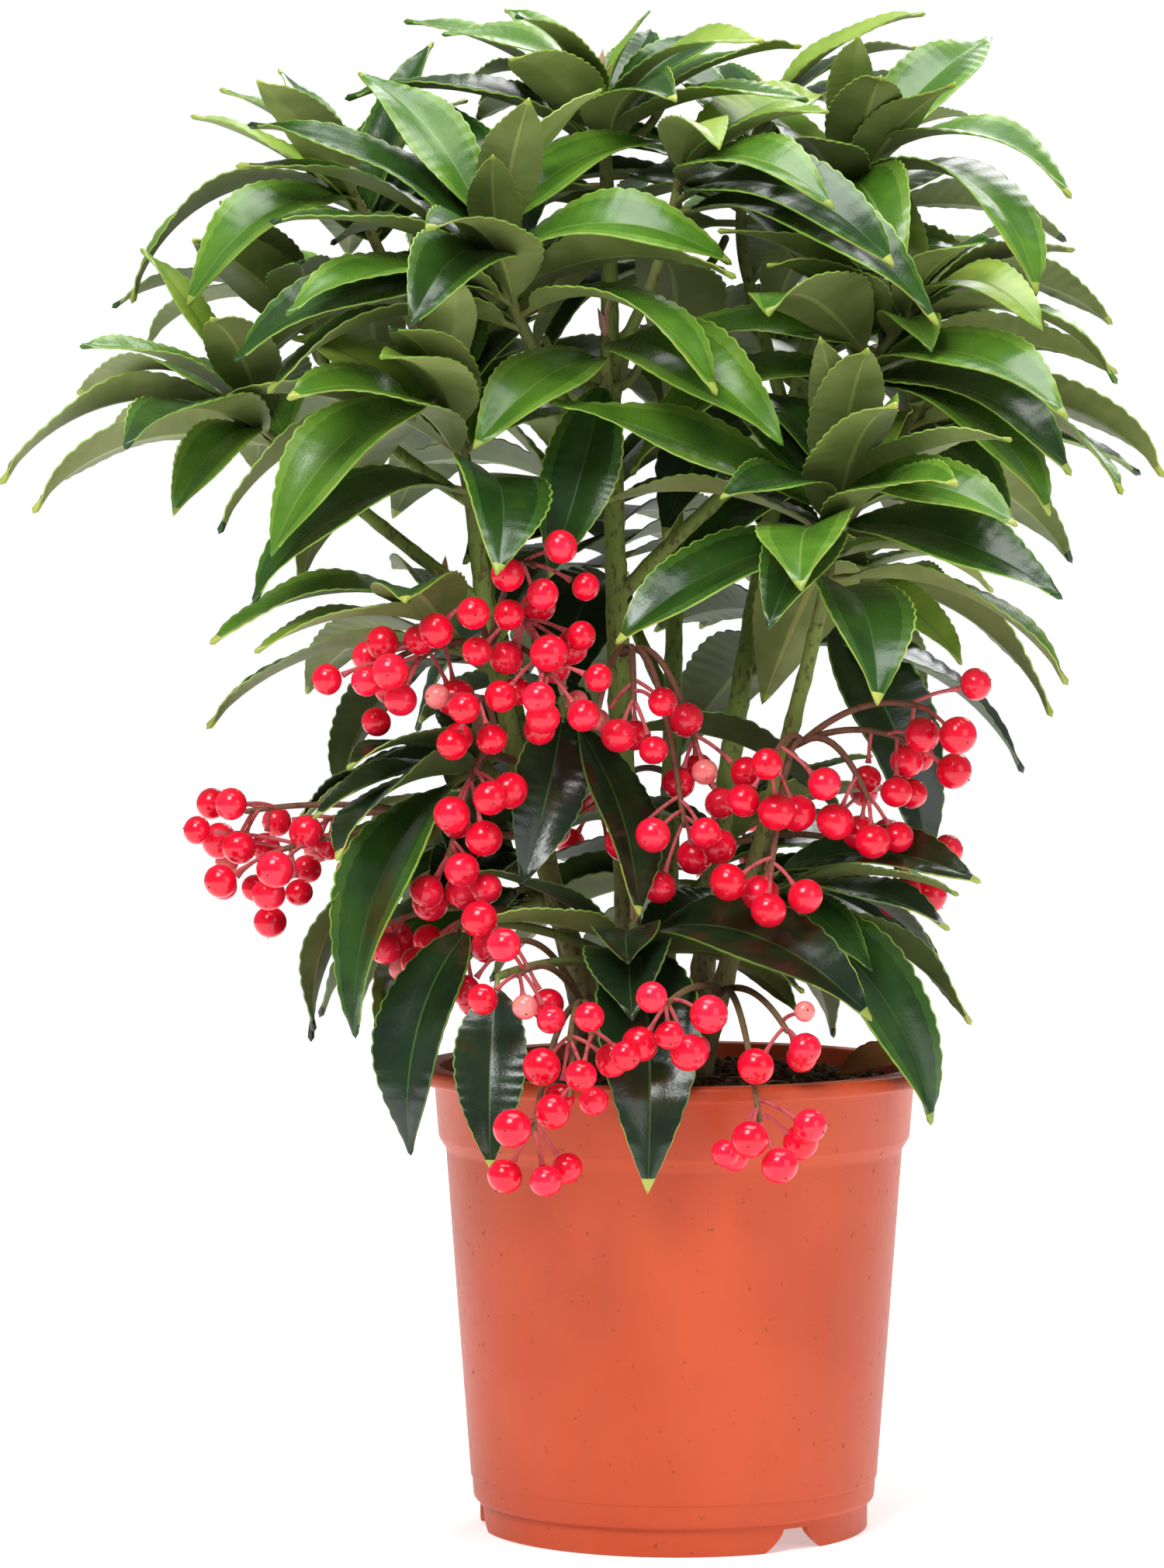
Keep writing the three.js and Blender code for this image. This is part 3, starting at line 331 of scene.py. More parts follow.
# %% Pot and soil finishes
plastic = Finish("pot_plastic", specular_ior_level=0.28)
cloud = plastic.step(plastic.grain(45, 3), 0.3, 0.7)
shell = plastic.blend(tint(188, 72, 37), tint(197, 80, 44), cloud)
streaks = plastic.step(plastic.grain(9, 4, (1, 1, 5)), 0.5, 0.75)
faded = plastic.blend(shell, tint(176, 78, 50), streaks * 0.35)
dirt = plastic.step(plastic.grain(2.2, 4), 0.66, 0.72) + plastic.step(plastic.grain(0.9, 2), 0.74, 0.78)
soiled = plastic.blend(faded, tint(92, 62, 44), dirt * 0.5)
satin = plastic.grain(3, 4)
POT_FINISH = plastic.paint(soiled, 0.34 + satin * 0.14 + dirt * 0.3, plastic.grain(0.7, 2), 0.015)


def peat_finish(name, dark, light):
    finish = Finish(name, specular_ior_level=0.25)
    clumps = finish.grain(3, 5)
    colour = finish.blend(tint(*dark), tint(*light), finish.step(clumps, 0.38, 0.68))
    return finish.paint(colour, 0.85 + clumps * 0.1, finish.grain(1.1, 5), 0.8)


PEAT_FINISH = peat_finish("peat", (34, 24, 18), (74, 54, 38))
CRUMB_FINISH = peat_finish("peat_crumb", (46, 32, 22), (98, 74, 52))
FIBRE_FINISH = peat_finish("peat_fibre", (92, 66, 44), (140, 108, 74))
floor_finish = Finish("floor", specular_ior_level=0.0, emission_color=(1, 1, 1, 1), emission_strength=0.42)
floor_grain = floor_finish.grain(120)
FLOOR_FINISH = floor_finish.paint(
    floor_finish.blend(tint(228, 228, 228), tint(232, 232, 232), floor_grain), 0.7 + floor_grain * 0.1)
print("materials in all:", len(bpy.data.materials))

# %% Floor
HALF_FLOOR = 1.6
floor_corners = [(x * HALF_FLOOR, y * HALF_FLOOR, 0) for x, y in ((-1, -1), (1, -1), (1, 1), (-1, 1))]
floor_mesh = bpy.data.meshes.new("floor")
floor_mesh.from_pydata(floor_corners, [], [(0, 1, 2, 3)])
floor_mesh.materials.append(FLOOR_FINISH)
add_object("floor", floor_mesh)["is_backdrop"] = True
print("floor is", 2 * HALF_FLOOR, "m wide")


# %% [markdown]
# ## Turning arrays into pieces
# A leaf or a stem is worked out as rows of points in millimetres. One helper turns such rows into
# a mesh in metres whose object stays at the origin, and a second one hands the piece over. What
# repeats or follows a path is left to Geometry Nodes: a tree with named inputs works on a maker
# object, and its result is kept as a plain mesh.


# %% Helpers for pieces
def make_piece(name, points, faces, finishes, numbers=None, sharp=None):
    """A mesh piece from points in millimetres. numbers gives each face's finish. Edges whose angle is
    over sharp, in degrees, stay sharp."""
    mesh = bpy.data.meshes.new(name)
    mesh.from_pydata((np.asarray(points) * MM).tolist(), [], faces)
    for finish in finishes:
        mesh.materials.append(finish)
    if numbers is not None:
        mesh.polygons.foreach_set("material_index", numbers)
    mesh.polygons.foreach_set("use_smooth", [True] * len(mesh.polygons))
    if sharp:
        mesh.set_sharp_from_angle(angle=math.radians(sharp))
    mesh.update()
    return add_object(name, mesh)


def ring_faces(rings, sides):
    """Quads between rings of points, and a fan at each end to one of the two points that come last."""
    faces = []
    for low in range(0, (rings - 1) * sides, sides):
        for k in range(sides):
            after = (k + 1) % sides
            faces.append((low + k, low + after, low + sides + after, low + sides + k))
    first, top = rings * sides, (rings - 1) * sides
    for k in range(sides):
        after = (k + 1) % sides
        faces += [(first, after, k), (first + 1, top + k, top + after)]
    return faces


def hand_over(piece, nodes):
    """A piece rides on the plant's one body and stands for its solids, which are hidden."""
    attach(piece, "root")
    if nodes:
        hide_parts(*nodes)


def evaluated_piece(maker, name):
    """The result of an object's modifiers as a plain mesh piece. The maker is removed."""
    bpy.context.view_layer.update()
    grown_object = maker.evaluated_get(bpy.context.evaluated_depsgraph_get())
    mesh = bpy.data.meshes.new_from_object(grown_object)
    mesh.name = name
    bpy.data.objects.remove(maker)
    return add_object(name, mesh)


print("faces of a tube of 3 rings of 8 points:", len(ring_faces(3, 8)))


# %% Geometry Nodes trees
class PieceTree(Book):
    """A Geometry Nodes tree. What it starts from and all its sizes and finishes are named inputs."""

    def __init__(self, name, inputs):
        super().__init__(bpy.data.node_groups.new(name, "GeometryNodeTree"))
        self.sockets = {}
        for label, kind in {"Start": "Geometry", **inputs}.items():
            socket = self.tree.interface.new_socket(label, in_out="INPUT", socket_type="NodeSocket" + kind)
            self.sockets[label] = socket.identifier
        self.tree.interface.new_socket("Result", in_out="OUTPUT", socket_type="NodeSocketGeometry")
        self.given = self.add("NodeGroupInput").outputs

    def shape(self, kind, sockets=None, settings=None):
        """The first output of a node."""
        return self.add(kind, settings, sockets).outputs[0]

    def carried(self, label, data_type):
        """A value that each point of the start carries under a name."""
        node = self.add("GeometryNodeInputNamedAttribute", {"data_type": data_type}, {"Name": label})
        return node.outputs["Attribute"]

    def end(self, flow):
        self.add("NodeGroupOutput", None, {"Result": flow})

    def piece(self, name, maker, values):
        """What the tree makes of an object, as a plain mesh piece. Inputs are set by identifier."""
        modifier = maker.modifiers.new(name, "NODES")
        modifier.node_group = self.tree
        for label, value in values.items():
            modifier[self.sockets[label]] = value
        return evaluated_piece(maker, name)


print("kinds of input a tree can have: Int, Float, Vector and Material")

# %% [markdown]
# ## Where everything grows
# The plant grows by the same rule, sizes and seeded draws as its solids: limbs first, then a twig
# for each shoot, the stalks of the berries, the leaves whose tips are given, the berries,
# the leaves of the rule, and short side twigs. Nothing is placed where another thing stands.
# All lengths here are in millimetres.

# %% Sizes of the plant
CLEAR = 0.3
RIM_RADIUS = 75
POT_HEIGHT = 134
WALL = 1.6
RIM_HEIGHT = 4.5
BAND_RADIUS = 69.3
STEP_HEIGHT = 110
BODY_TOP_RADIUS = 66
BODY_FOOT_RADIUS = 58.1
FOOT_RADIUS = 56.1
FOOT_HEIGHT = 7.8
FLOOR_UNDERSIDE = 6.5
PAD_RADIUS = 14
NOTCH = {"count": 3, "first": -53, "top": 8.3, "foot": 24, "power": 1.6, "steps": 7}
SOIL_TOP = 130
SOIL_EDGE = 127.5
SOIL_FLAT_RADIUS = 46

LEAF_LENGTH = 82
LEAF_WIDTH_RATIO = 0.36
LEAF_FOLD = 0.28
PETIOLE = 0.07
VIEW = {"x": -27, "y": -1650, "z": 290}
CROWN_TOP = 441
CROWN = {"x": -27, "y": 12, "z": 285, "half_width": 168, "half_depth": 152, "height": 155, "power": 2.8}
# Open places as seen from the front: across, up, radius, and the depth before which they stay open
SKY = 400
OPEN_PLACES = [(-80, 302, 12, SKY), (-83, 267, 14, SKY), (-95, 247, 22, SKY), (-150, 295, 18, SKY),
               (-45, 310, 8, SKY), (-8, 297, 7, SKY), (-71, 290, 10, SKY), (66, 150, 15, SKY),
               (106, 291, 12, SKY), (88, 242, 20, SKY), (-20, 330, 30, 10), (-25, 270, 28, 10),
               (30, 247, 14, 40)]
TWIG_RADIUS = 2.2
TWIG_TIP_RADIUS = 1.5
STEM_FLARE = 0.35
FLARE_HEIGHT = 9
BERRY_RADIUS = 5.15
PEDICEL_RADIUS = 0.55
PEDUNCLE_RADIUS = 1.6
GOLDEN_ANGLE = 137.5

COARSE_GAPS = {"leaf": 3.0, "own": 1.8, "limb": 1.5, "berry": 1.3}
FINE_GAPS = {"leaf": 1.1, "own": 0.7, "limb": 0.6, "berry": 0.3}
POT_GAP = 2
BALL_SPACING = 3
STALK_SHARE = 0.3
SAMPLE_STATIONS = 14
SAMPLE_SIDES = np.array([-1, -0.5, 0, 0.5, 1])
FAR_SHARE = 0.6

LEAF_SPACING = 3.9
TIP_BARE = 2
ROSETTE_SHARE = 0.88
RISE = (68, 12)
RISE_SPREAD = 12
DROOP = (38, 84)
DROOP_SPREAD = 16
ROLL_SPREAD = 50
YOUNG_LENGTH = 0.66
GROWN_AT = 0.55
LENGTH_SPREAD = (0.93, 1.05)
TWIG_RUN = 0.45
TWIG_LIFT = 0.3
SET_TRIES = [(0, 0), (7, 0), (-7, 0), (0, 8), (0, -8), (12, 6), (-12, 6), (12, -8), (-12, -8),
             (22, 0), (-22, 0), (0, 15), (0, -15)]
RULE_TRIES = [(0, 0), (18, 0), (-18, 0), (0, 16), (0, -16), (34, 8), (-34, 8), (34, -12), (-34, -12),
              (60, 0), (-60, 0), (90, 10), (-90, 10)]

SIDE_TWIG = {"from": (0.35, 0.65), "reach": (20, 32), "out": 0.75, "up": 0.6, "bend": 0.5}
SIDE_TESTED = (0.35, 0.5, 0.65, 0.8, 1)
SIDE_LEAVES = [{"rise": 46, "droop": 45, "length": 0.58}, {"rise": 20, "droop": 70, "length": 0.75}]
SIDE_ROLL_SPREAD = 20

STUB_LENGTH = 12
STUB_SWELL = 1.2
STALK_TAPER = 0.8
STALK_ARCH = 6
UMBEL = {"along": 0.7, "hang": 0.5, "spread": 1.15, "sag": 0.25, "back": 0.4}
PEDICEL_LENGTH = (11, 17)
PEDICEL_SPACING = 1.5
PEDICEL_START = 0.6
PEDICEL_STRETCHES = (0, 3, -2)
# Each kind of draw has its own first seed, and a step from one piece to the next
SEEDS = {"mass": (1000, 77), "spray": (5000, 131), "fine_spray": (7000, 53), "fine_mass": (9000, 91),
         "fine_side": (12000, 37), "tone": (15000, 29), "fruit": (21000, 43), "skin": (400, 61),
         "fibre": (31000, 0)}
print("a full leaf is", LEAF_LENGTH, "mm long and", round(LEAF_LENGTH * LEAF_WIDTH_RATIO, 1), "mm wide")

# %% Stems and boughs
# Each is a curve of three points and the radii at its ends: start, bend, tip, radii. A bough
# starts on its parent, at a height.
STEMS = {
    "stem_main": ((-11, 0, 122), (-17, -4, 250), (-19, 2, 372), (4.2, 2.4)),
    "stem_left": ((-13, -14, 122), (-50, -20, 220), (-57, -17, 288), (3.5, 2.3)),
    "stem_right": ((4, -9, 122), (27, -22, 206), (40, -33, 262), (3.2, 2.0)),
    "stem_back_right": ((5, 15, 122), (16, 36, 240), (40, 28, 345), (3.8, 2.2)),
    "stem_back": ((-4, 24, 122), (2, 52, 240), (1, 56, 340), (3.4, 2.1)),
    "stem_back_left": ((-21, 12, 122), (-44, 50, 220), (-62, 62, 310), (3.2, 2.0)),
}
BOUGHS = {
    "bough_left_top": ("stem_main", 298, (-25, -8, 314), (-35, -17, 330), (2.4, 1.9)),
    "bough_centre_front": ("stem_main", 334, (-14, -5, 342), (-9, -11, 353), (2.0, 1.7)),
    "bough_right_mid": ("stem_main", 268, (5, -4, 292), (42, -12, 322), (2.3, 1.8)),
    "bough_left_outer": ("stem_left", 266, (-78, -10, 284), (-100, -4, 302), (2.2, 1.7)),
    "bough_left_crest": ("stem_left", 274, (-58, 6, 310), (-74, 15, 344), (2.0, 1.7)),
    "bough_left_back": ("stem_back_left", 296, (-76, 60, 306), (-91, 47, 319), (2.0, 1.7)),
    "bough_right_crest": ("stem_back_right", 318, (28, 37, 340), (22, 34, 362), (2.0, 1.7)),
    "bough_right_outer": ("stem_back_right", 264, (42, 36, 276), (52, 29, 292), (2.2, 1.8)),
    "bough_back_right": ("stem_back", 280, (24, 66, 296), (34, 70, 316), (2.1, 1.7)),
    "bough_back_low": ("stem_back", 236, (-8, 67, 250), (-14, 76, 268), (2.1, 1.7)),
}
print("limbs:", len(STEMS) + len(BOUGHS))


# %% Masses of foliage
def shoot(name, limb, apex, leaves, phase, tips, height=None, rise=RISE):
    """The limb that carries a mass, its apex, how many leaves the rule adds, the bearing of the first
    one, and the listed leaves. One with a height leaves its limb there, and not at its tip."""
    return {"name": name, "limb": limb, "apex": apex, "leaves": leaves, "phase": phase, "set": tips,
            "height": height, "rise": rise}


# A listed leaf is given by its tip, as seen from the front: across, up, depth, the bend of its
# blade, and the turn of its upper face to the front.
MASSES = [
    shoot("foliage_crown_top", "stem_main", (-21, 8, 414), 7, 70, [
        (-7, 437, 12, 25, 0), (-67, 430, -12, 60, 30), (-49, 437, 30, 60, 20), (15, 436, 20, 60, 25),
        (26, 428, -28, 75, 20), (-60, 416, 55, 75, 0), (0, 419, -48, 80, 20)]),
    shoot("foliage_left_top", "bough_left_top", (-54, -35, 374), 4, 300, [
        (-91, 419, -5, 45, 30), (-10, 406, 0, 65, 20), (-117, 414, -20, 45, 15), (16, 374, -52, 92, 30),
        (-76, 346, -86, 95, 20), (-99, 370, 10, 75, 0), (-127, 336, -50, 75, 25), (-128, 393, -22, 60, 0),
        (-122, 334, -10, 80, -10)]),
    shoot("foliage_centre_front", "bough_centre_front", (2, -20, 393), 6, 120, [
        (43, 412, 20, 55, 20), (13, 397, -63, 105, 0), (46, 380, -68, 90, 20), (65, 374, -61, 88, 25),
        (56, 347, -84, 75, 20)]),
    shoot("foliage_right_top", "stem_back_right", (54, 12, 396), 8, 200, [
        (91, 429, 52, 50, 25), (114, 383, -13, 98, 10), (104, 355, -28, 105, 0), (73, 361, -38, 95, 25)]),
    shoot("foliage_right_crest", "bough_right_crest", (26, 30, 408), 7, 150, [
        (72, 436, 28, 50, 15), (70, 426, 50, 60, 0), (78, 412, 58, 70, 0)]),
    shoot("foliage_right_mid", "bough_right_mid", (68, -12, 352), 8, 90, [
        (106, 345, -48, 98, 20), (126, 347, 20, 80, -10), (129, 339, -30, 90, 0), (74, 339, -56, 70, 0)]),
    shoot("foliage_right_outer", "bough_right_outer", (72, 20, 324), 7, 60, [
        (106, 320, -24, 90, 35), (141, 303, 30, 92, -15), (129, 298, -18, 85, -15), (97, 292, -6, 80, 15),
        (108, 300, 50, 80, 0)]),
    shoot("foliage_right_front", "stem_right", (45, -44, 304), 4, 20, [
        (41, 341, -38, 12, 0), (99, 289, -80, 50, 30), (13, 297, -82, 55, 20), (-36, 325, -52, 24, 30),
        (112, 268, -75, 50, 30), (27, 259, -86, 70, 10), (-17, 255, -67, 60, 25), (92, 270, -8, 60, 0)]),
    shoot("foliage_left_mid", "stem_left", (-66, -26, 326), 7, 10, [
        (-116, 280, -55, 90, 20), (-104, 262, 28, 80, 0), (-126, 280, -12, 80, -10)]),
    shoot("foliage_left_outer", "bough_left_outer", (-127, 0, 324), 6, 100, [
        (-121, 339, 12, 12, 0), (-194, 301, -22, 80, -15), (-172, 327, 45, 70, 0), (-140, 292, -38, 80, 15),
        (-144, 296, 28, 80, 0)]),
    shoot("foliage_left_crest", "bough_left_crest", (-94, 14, 388), 6, 65, [
        (-156, 353, 14, 98, 0), (-140, 352, -18, 95, 20), (-142, 374, 40, 85, 0), (-69, 428, 30, 50, 20)]),
    shoot("foliage_left_back", "bough_left_back", (-106, 34, 352), 6, 130, [
        (-152, 341, 62, 80, 0), (-161, 352, 20, 85, 0)]),
    shoot("foliage_back_left", "stem_back_left", (-60, 66, 356), 13, 35, []),
    shoot("foliage_back_crest", "stem_back", (2, 62, 392), 13, 255, []),
    shoot("foliage_back_right", "bough_back_right", (46, 70, 354), 12, 330, []),
    shoot("foliage_back_low", "bough_back_low", (-20, 84, 310), 12, 180, []),
    shoot("foliage_stem_front", "stem_main", (-20, -18, 342), 0, 0, [
        (28, 302, -66, 72, 25), (-58, 311, -64, 62, 20), (-36, 274, -34, 30, 30)], height=322),
    shoot("foliage_right_low", "stem_back_right", (44, 36, 276), 8, 45, [
        (109, 234, 34, 70, -10), (83, 249, 2, 60, 10), (73, 242, 66, 60, 0),
        (73, 191, 20, 50, 30)], height=246, rise=(45, -5)),
    shoot("foliage_left_low", "stem_left", (-66, -14, 268), 6, 75, [
        (-134, 255, -40, 60, 10)], height=248, rise=(40, 0)),
    shoot("skirt_centre", "stem_main", (-32, -25, 240), 0, 0, [
        (-44, 185, -54, 40, 30), (-14, 171, -54, 34, -20)], height=228),
    shoot("skirt_right", "stem_right", (26, -20, 190), 6, 85, [
        (92, 180, -34, 62, 25), (79, 158, 4, 70, 10), (54, 160, -50, 70, 20),
        (64, 114, -56, 85, 25)], height=168, rise=(35, -10)),
    shoot("skirt_front", "stem_main", (-12, -28, 176), 3, 200, [
        (-76, 107, -56, 108, 25), (62, 139, -54, 90, 25),
        (-7, 104, -90, 100, 0)], height=158, rise=(25, -5)),
    shoot("skirt_left", "stem_left", (-56, -14, 226), 6, 95, [
        (-97, 171, -50, 80, 20)], height=214, rise=(30, -10)),
    shoot("skirt_back_right", "stem_back", (16, 48, 202), 10, 15, [], height=176, rise=(40, -5)),
    shoot("skirt_back_left", "stem_back_left", (-50, 46, 204), 9, 155, [
        (-105, 140, 36, 80, -15)], height=176, rise=(40, -5)),
]
print("masses of foliage:", len(MASSES))

# %% Sprays of berries
# Each leaves its stem at a height and forks to umbels, given as x, y, z and the berries counted.
SPRAYS = {
    "berries_left_outer": ("stem_left", 200, [(-116, -26, 196, 5), (-100, -8, 205, 2)]),
    "berries_left_upper": ("stem_left", 250, [(-42, -52, 262, 4), (-72, -44, 252, 4)]),
    "berries_left_mid": ("stem_left", 222, [(-58, -50, 218, 3), (-64, -44, 196, 3)]),
    "berries_left_low": ("stem_left", 176, [(-84, -2, 174, 3), (-62, -36, 176, 2)]),
    "berries_centre": ("stem_main", 252, [(-12, -42, 240, 3), (6, -40, 226, 3), (2, -48, 206, 3)]),
    "berries_right": ("stem_right", 226, [(26, -54, 222, 3), (64, -40, 229, 4), (54, -46, 212, 4),
                                          (26, -58, 192, 2)]),
    "berries_right_outer": ("stem_back_right", 196, [(66, 4, 190, 2), (52, 66, 202, 2)]),
    "berries_front_left": ("stem_left", 152, [(-48, -56, 172, 2), (-30, -80, 148, 3), (-40, -92, 124, 3)]),
    "berries_front_right": ("stem_right", 156, [(-6, -56, 154, 3), (22, -90, 126, 3), (30, -76, 150, 2)]),
    "berries_back": ("stem_back", 214, [(-22, 92, 204, 3), (20, 94, 198, 3)]),
}
print("sprays:", len(SPRAYS))


# %% Seeded draws and curves
CURVE_STEPS = 200
HEADING_STEP = 1e-4
HALVINGS = 30


def seeded(kind, index=0, more=0):
    """A draw of numbers from 0 to 1. The same seed always gives the same plant."""
    first, step = SEEDS[kind]
    state = first + step * index + more

    def draw():
        nonlocal state
        state = (state * 1664525 + 1013904223) & 0xFFFFFFFF
        return state / 2**32

    return draw


def between(ends, share):
    return ends[0] + (ends[1] - ends[0]) * share


def unit(direction):
    return direction / np.linalg.norm(direction)


def turns(count):
    """The cosine and sine of so many equal turns round a circle."""
    angles = [2 * math.pi * k / count for k in range(count)]
    return [(math.cos(angle), math.sin(angle)) for angle in angles]


class Limb:
    """A tapering limb on a curve of three points. A share of it is measured along its length."""

    def __init__(self, start, bend, tip, radii):
        self.corners = [np.array(point, float) for point in (start, bend, tip)]
        self.radii = radii
        self.steps = np.linspace(0, 1, CURVE_STEPS + 1)
        spans = np.linalg.norm(np.diff(self.on_curve(self.steps), axis=0), axis=1)
        self.lengths = np.concatenate([[0], np.cumsum(spans)])
        self.length = self.lengths[-1]

    def on_curve(self, step):
        step = np.asarray(step, float)[..., None]
        start, bend, tip = self.corners
        return (1 - step) ** 2 * start + 2 * (1 - step) * step * bend + step**2 * tip

    def at(self, share):
        return self.on_curve(np.interp(np.asarray(share) * self.length, self.lengths, self.steps))

    def heading(self, share):
        step = np.interp(share * self.length, self.lengths, self.steps)
        before, after = max(0, step - HEADING_STEP), min(1, step + HEADING_STEP)
        return unit(self.on_curve(after) - self.on_curve(before))

    def radius(self, share):
        return between(self.radii, share)

    def share_at_height(self, height):
        low, high = 0.0, 1.0
        for _ in range(HALVINGS):
            middle = (low + high) / 2
            if self.at(middle)[2] < height:
                low = middle
            else:
                high = middle
        return low

    def at_height(self, height):
        return self.at(self.share_at_height(height))


print("curve of 100 mm:", round(Limb((0, 0, 0), (0, 0, 50), (0, 0, 100), (1, 1)).length, 3))


# %% A leaf's place and shape
OUTLINE_POWER = 0.85
LEAST_OUTLINE = 0.05


class Leaf:
    """A blade whose midrib is an arc. The line from its base to its tip has the bearing and slope."""

    def __init__(self, base, bearing, slope, length, droop, roll):
        b, a, turn, half = (math.radians(angle) for angle in (bearing, slope, roll, droop / 2))
        chord = np.array([math.cos(a) * math.cos(b), math.cos(a) * math.sin(b), math.sin(a)])
        level = np.array([-math.sin(b), math.cos(b), 0])
        normal = np.cross(chord, level)
        over = normal * math.cos(turn) - level * math.sin(turn)
        self.across = level * math.cos(turn) + normal * math.sin(turn)
        self.along = chord * math.cos(half) + over * math.sin(half)
        self.up = over * math.cos(half) - chord * math.sin(half)
        self.base = np.asarray(base, float)
        self.length = length
        self.bow = length / (2 * half)
        self.half_width = length * LEAF_WIDTH_RATIO / 2

    def point(self, s, v, height):
        """The point at a distance along, a distance across and a height over the midrib's arc."""
        s, v, height = (np.asarray(value, float)[..., None] for value in (s, v, height))
        angle = s / self.bow
        return (self.base + self.along * (self.bow + height) * np.sin(angle) + self.across * v
                + self.up * ((self.bow + height) * np.cos(angle) - self.bow))

    def near(self, points, radius, gap):
        """True for each ball that comes within the gap of the blade."""
        offset = points - self.base
        v = np.abs(offset @ self.across)
        x = offset @ self.along
        z = offset @ self.up + self.bow
        s = np.arctan2(x, z) * self.bow
        width = self.half_width * outline(np.clip(s / self.length, 0, 1))
        reach = radius + gap
        beside = (v > width + reach) | (s < -radius) | (s > self.length + reach)
        return ~beside & (np.abs(np.hypot(x, z) - self.bow - LEAF_FOLD * v) < reach)


def outline(share):
    """Half the blade's width as a share of its widest, from the base of the stalk to the tip."""
    blade = np.clip((share - PETIOLE) / (1 - PETIOLE), 0, 1)
    return np.maximum(LEAST_OUTLINE, np.sin(np.pi * blade**OUTLINE_POWER)) ** OUTLINE_POWER


def aimed(base, across_view, up_view, depth, droop, facing):
    """The bearing, slope, length, bend and roll of a leaf whose tip is set as seen from the front."""
    far = (depth - VIEW["y"]) / -VIEW["y"]
    x = VIEW["x"] + (across_view - VIEW["x"]) * far - base[0]
    y = depth - base[1]
    z = VIEW["z"] + (up_view - VIEW["z"]) * far - base[2]
    half = math.radians(droop) / 2
    length = math.sqrt(x * x + y * y + z * z) * half / math.sin(half)
    roll = -facing if x < 0 else facing
    return math.degrees(math.atan2(y, x)), math.degrees(math.atan2(z, math.hypot(x, y))), length, droop, roll


SAMPLE_SHARES = np.arange(1, SAMPLE_STATIONS + 1) / SAMPLE_STATIONS


def sample(leaf):
    width = (leaf.half_width * outline(SAMPLE_SHARES))[:, None] * SAMPLE_SIDES
    along = np.broadcast_to((SAMPLE_SHARES * leaf.length)[:, None], width.shape)
    return leaf.point(along, width, LEAF_FOLD * np.abs(width)).reshape(-1, 3)


print("points tested on each leaf:", SAMPLE_STATIONS * len(SAMPLE_SIDES))


# %% Where no leaf may go
def near_pot(points, radius):
    """True for each ball that is inside the pot or the soil, or too close to them."""
    out = np.hypot(points[:, 0], points[:, 1])
    top = np.where(out < BAND_RADIUS - WALL, SOIL_TOP, POT_HEIGHT)
    side = np.where(points[:, 2] > POT_HEIGHT - RIM_HEIGHT - POT_GAP, RIM_RADIUS,
                    np.where(points[:, 2] > STEP_HEIGHT, BAND_RADIUS, BODY_TOP_RADIUS))
    return (points[:, 2] < top + POT_GAP + radius) & (out < side + POT_GAP + radius)


def inside_crown(points):
    rise = np.maximum(0, points[:, 2] - CROWN["z"]) / CROWN["height"]
    wide = np.abs(points[:, 0] - CROWN["x"]) / CROWN["half_width"]
    deep = np.abs(points[:, 1] - CROWN["y"]) / CROWN["half_depth"]
    return wide ** CROWN["power"] + deep ** CROWN["power"] + rise ** CROWN["power"] < 1


def fills_gap(points):
    """True if points lie in an open place of the crown, or before the stems where they show."""
    far = (points[:, 1] - VIEW["y"]) / -VIEW["y"]
    seen = np.c_[VIEW["x"] + (points[:, 0] - VIEW["x"]) / far, VIEW["z"] + (points[:, 2] - VIEW["z"]) / far]
    for x, z, radius, nearest in OPEN_PLACES:
        if ((np.hypot(seen[:, 0] - x, seen[:, 1] - z) < radius) & (points[:, 1] < nearest)).any():
            return True
    return False


print("open places kept in the crown:", len(OPEN_PLACES))


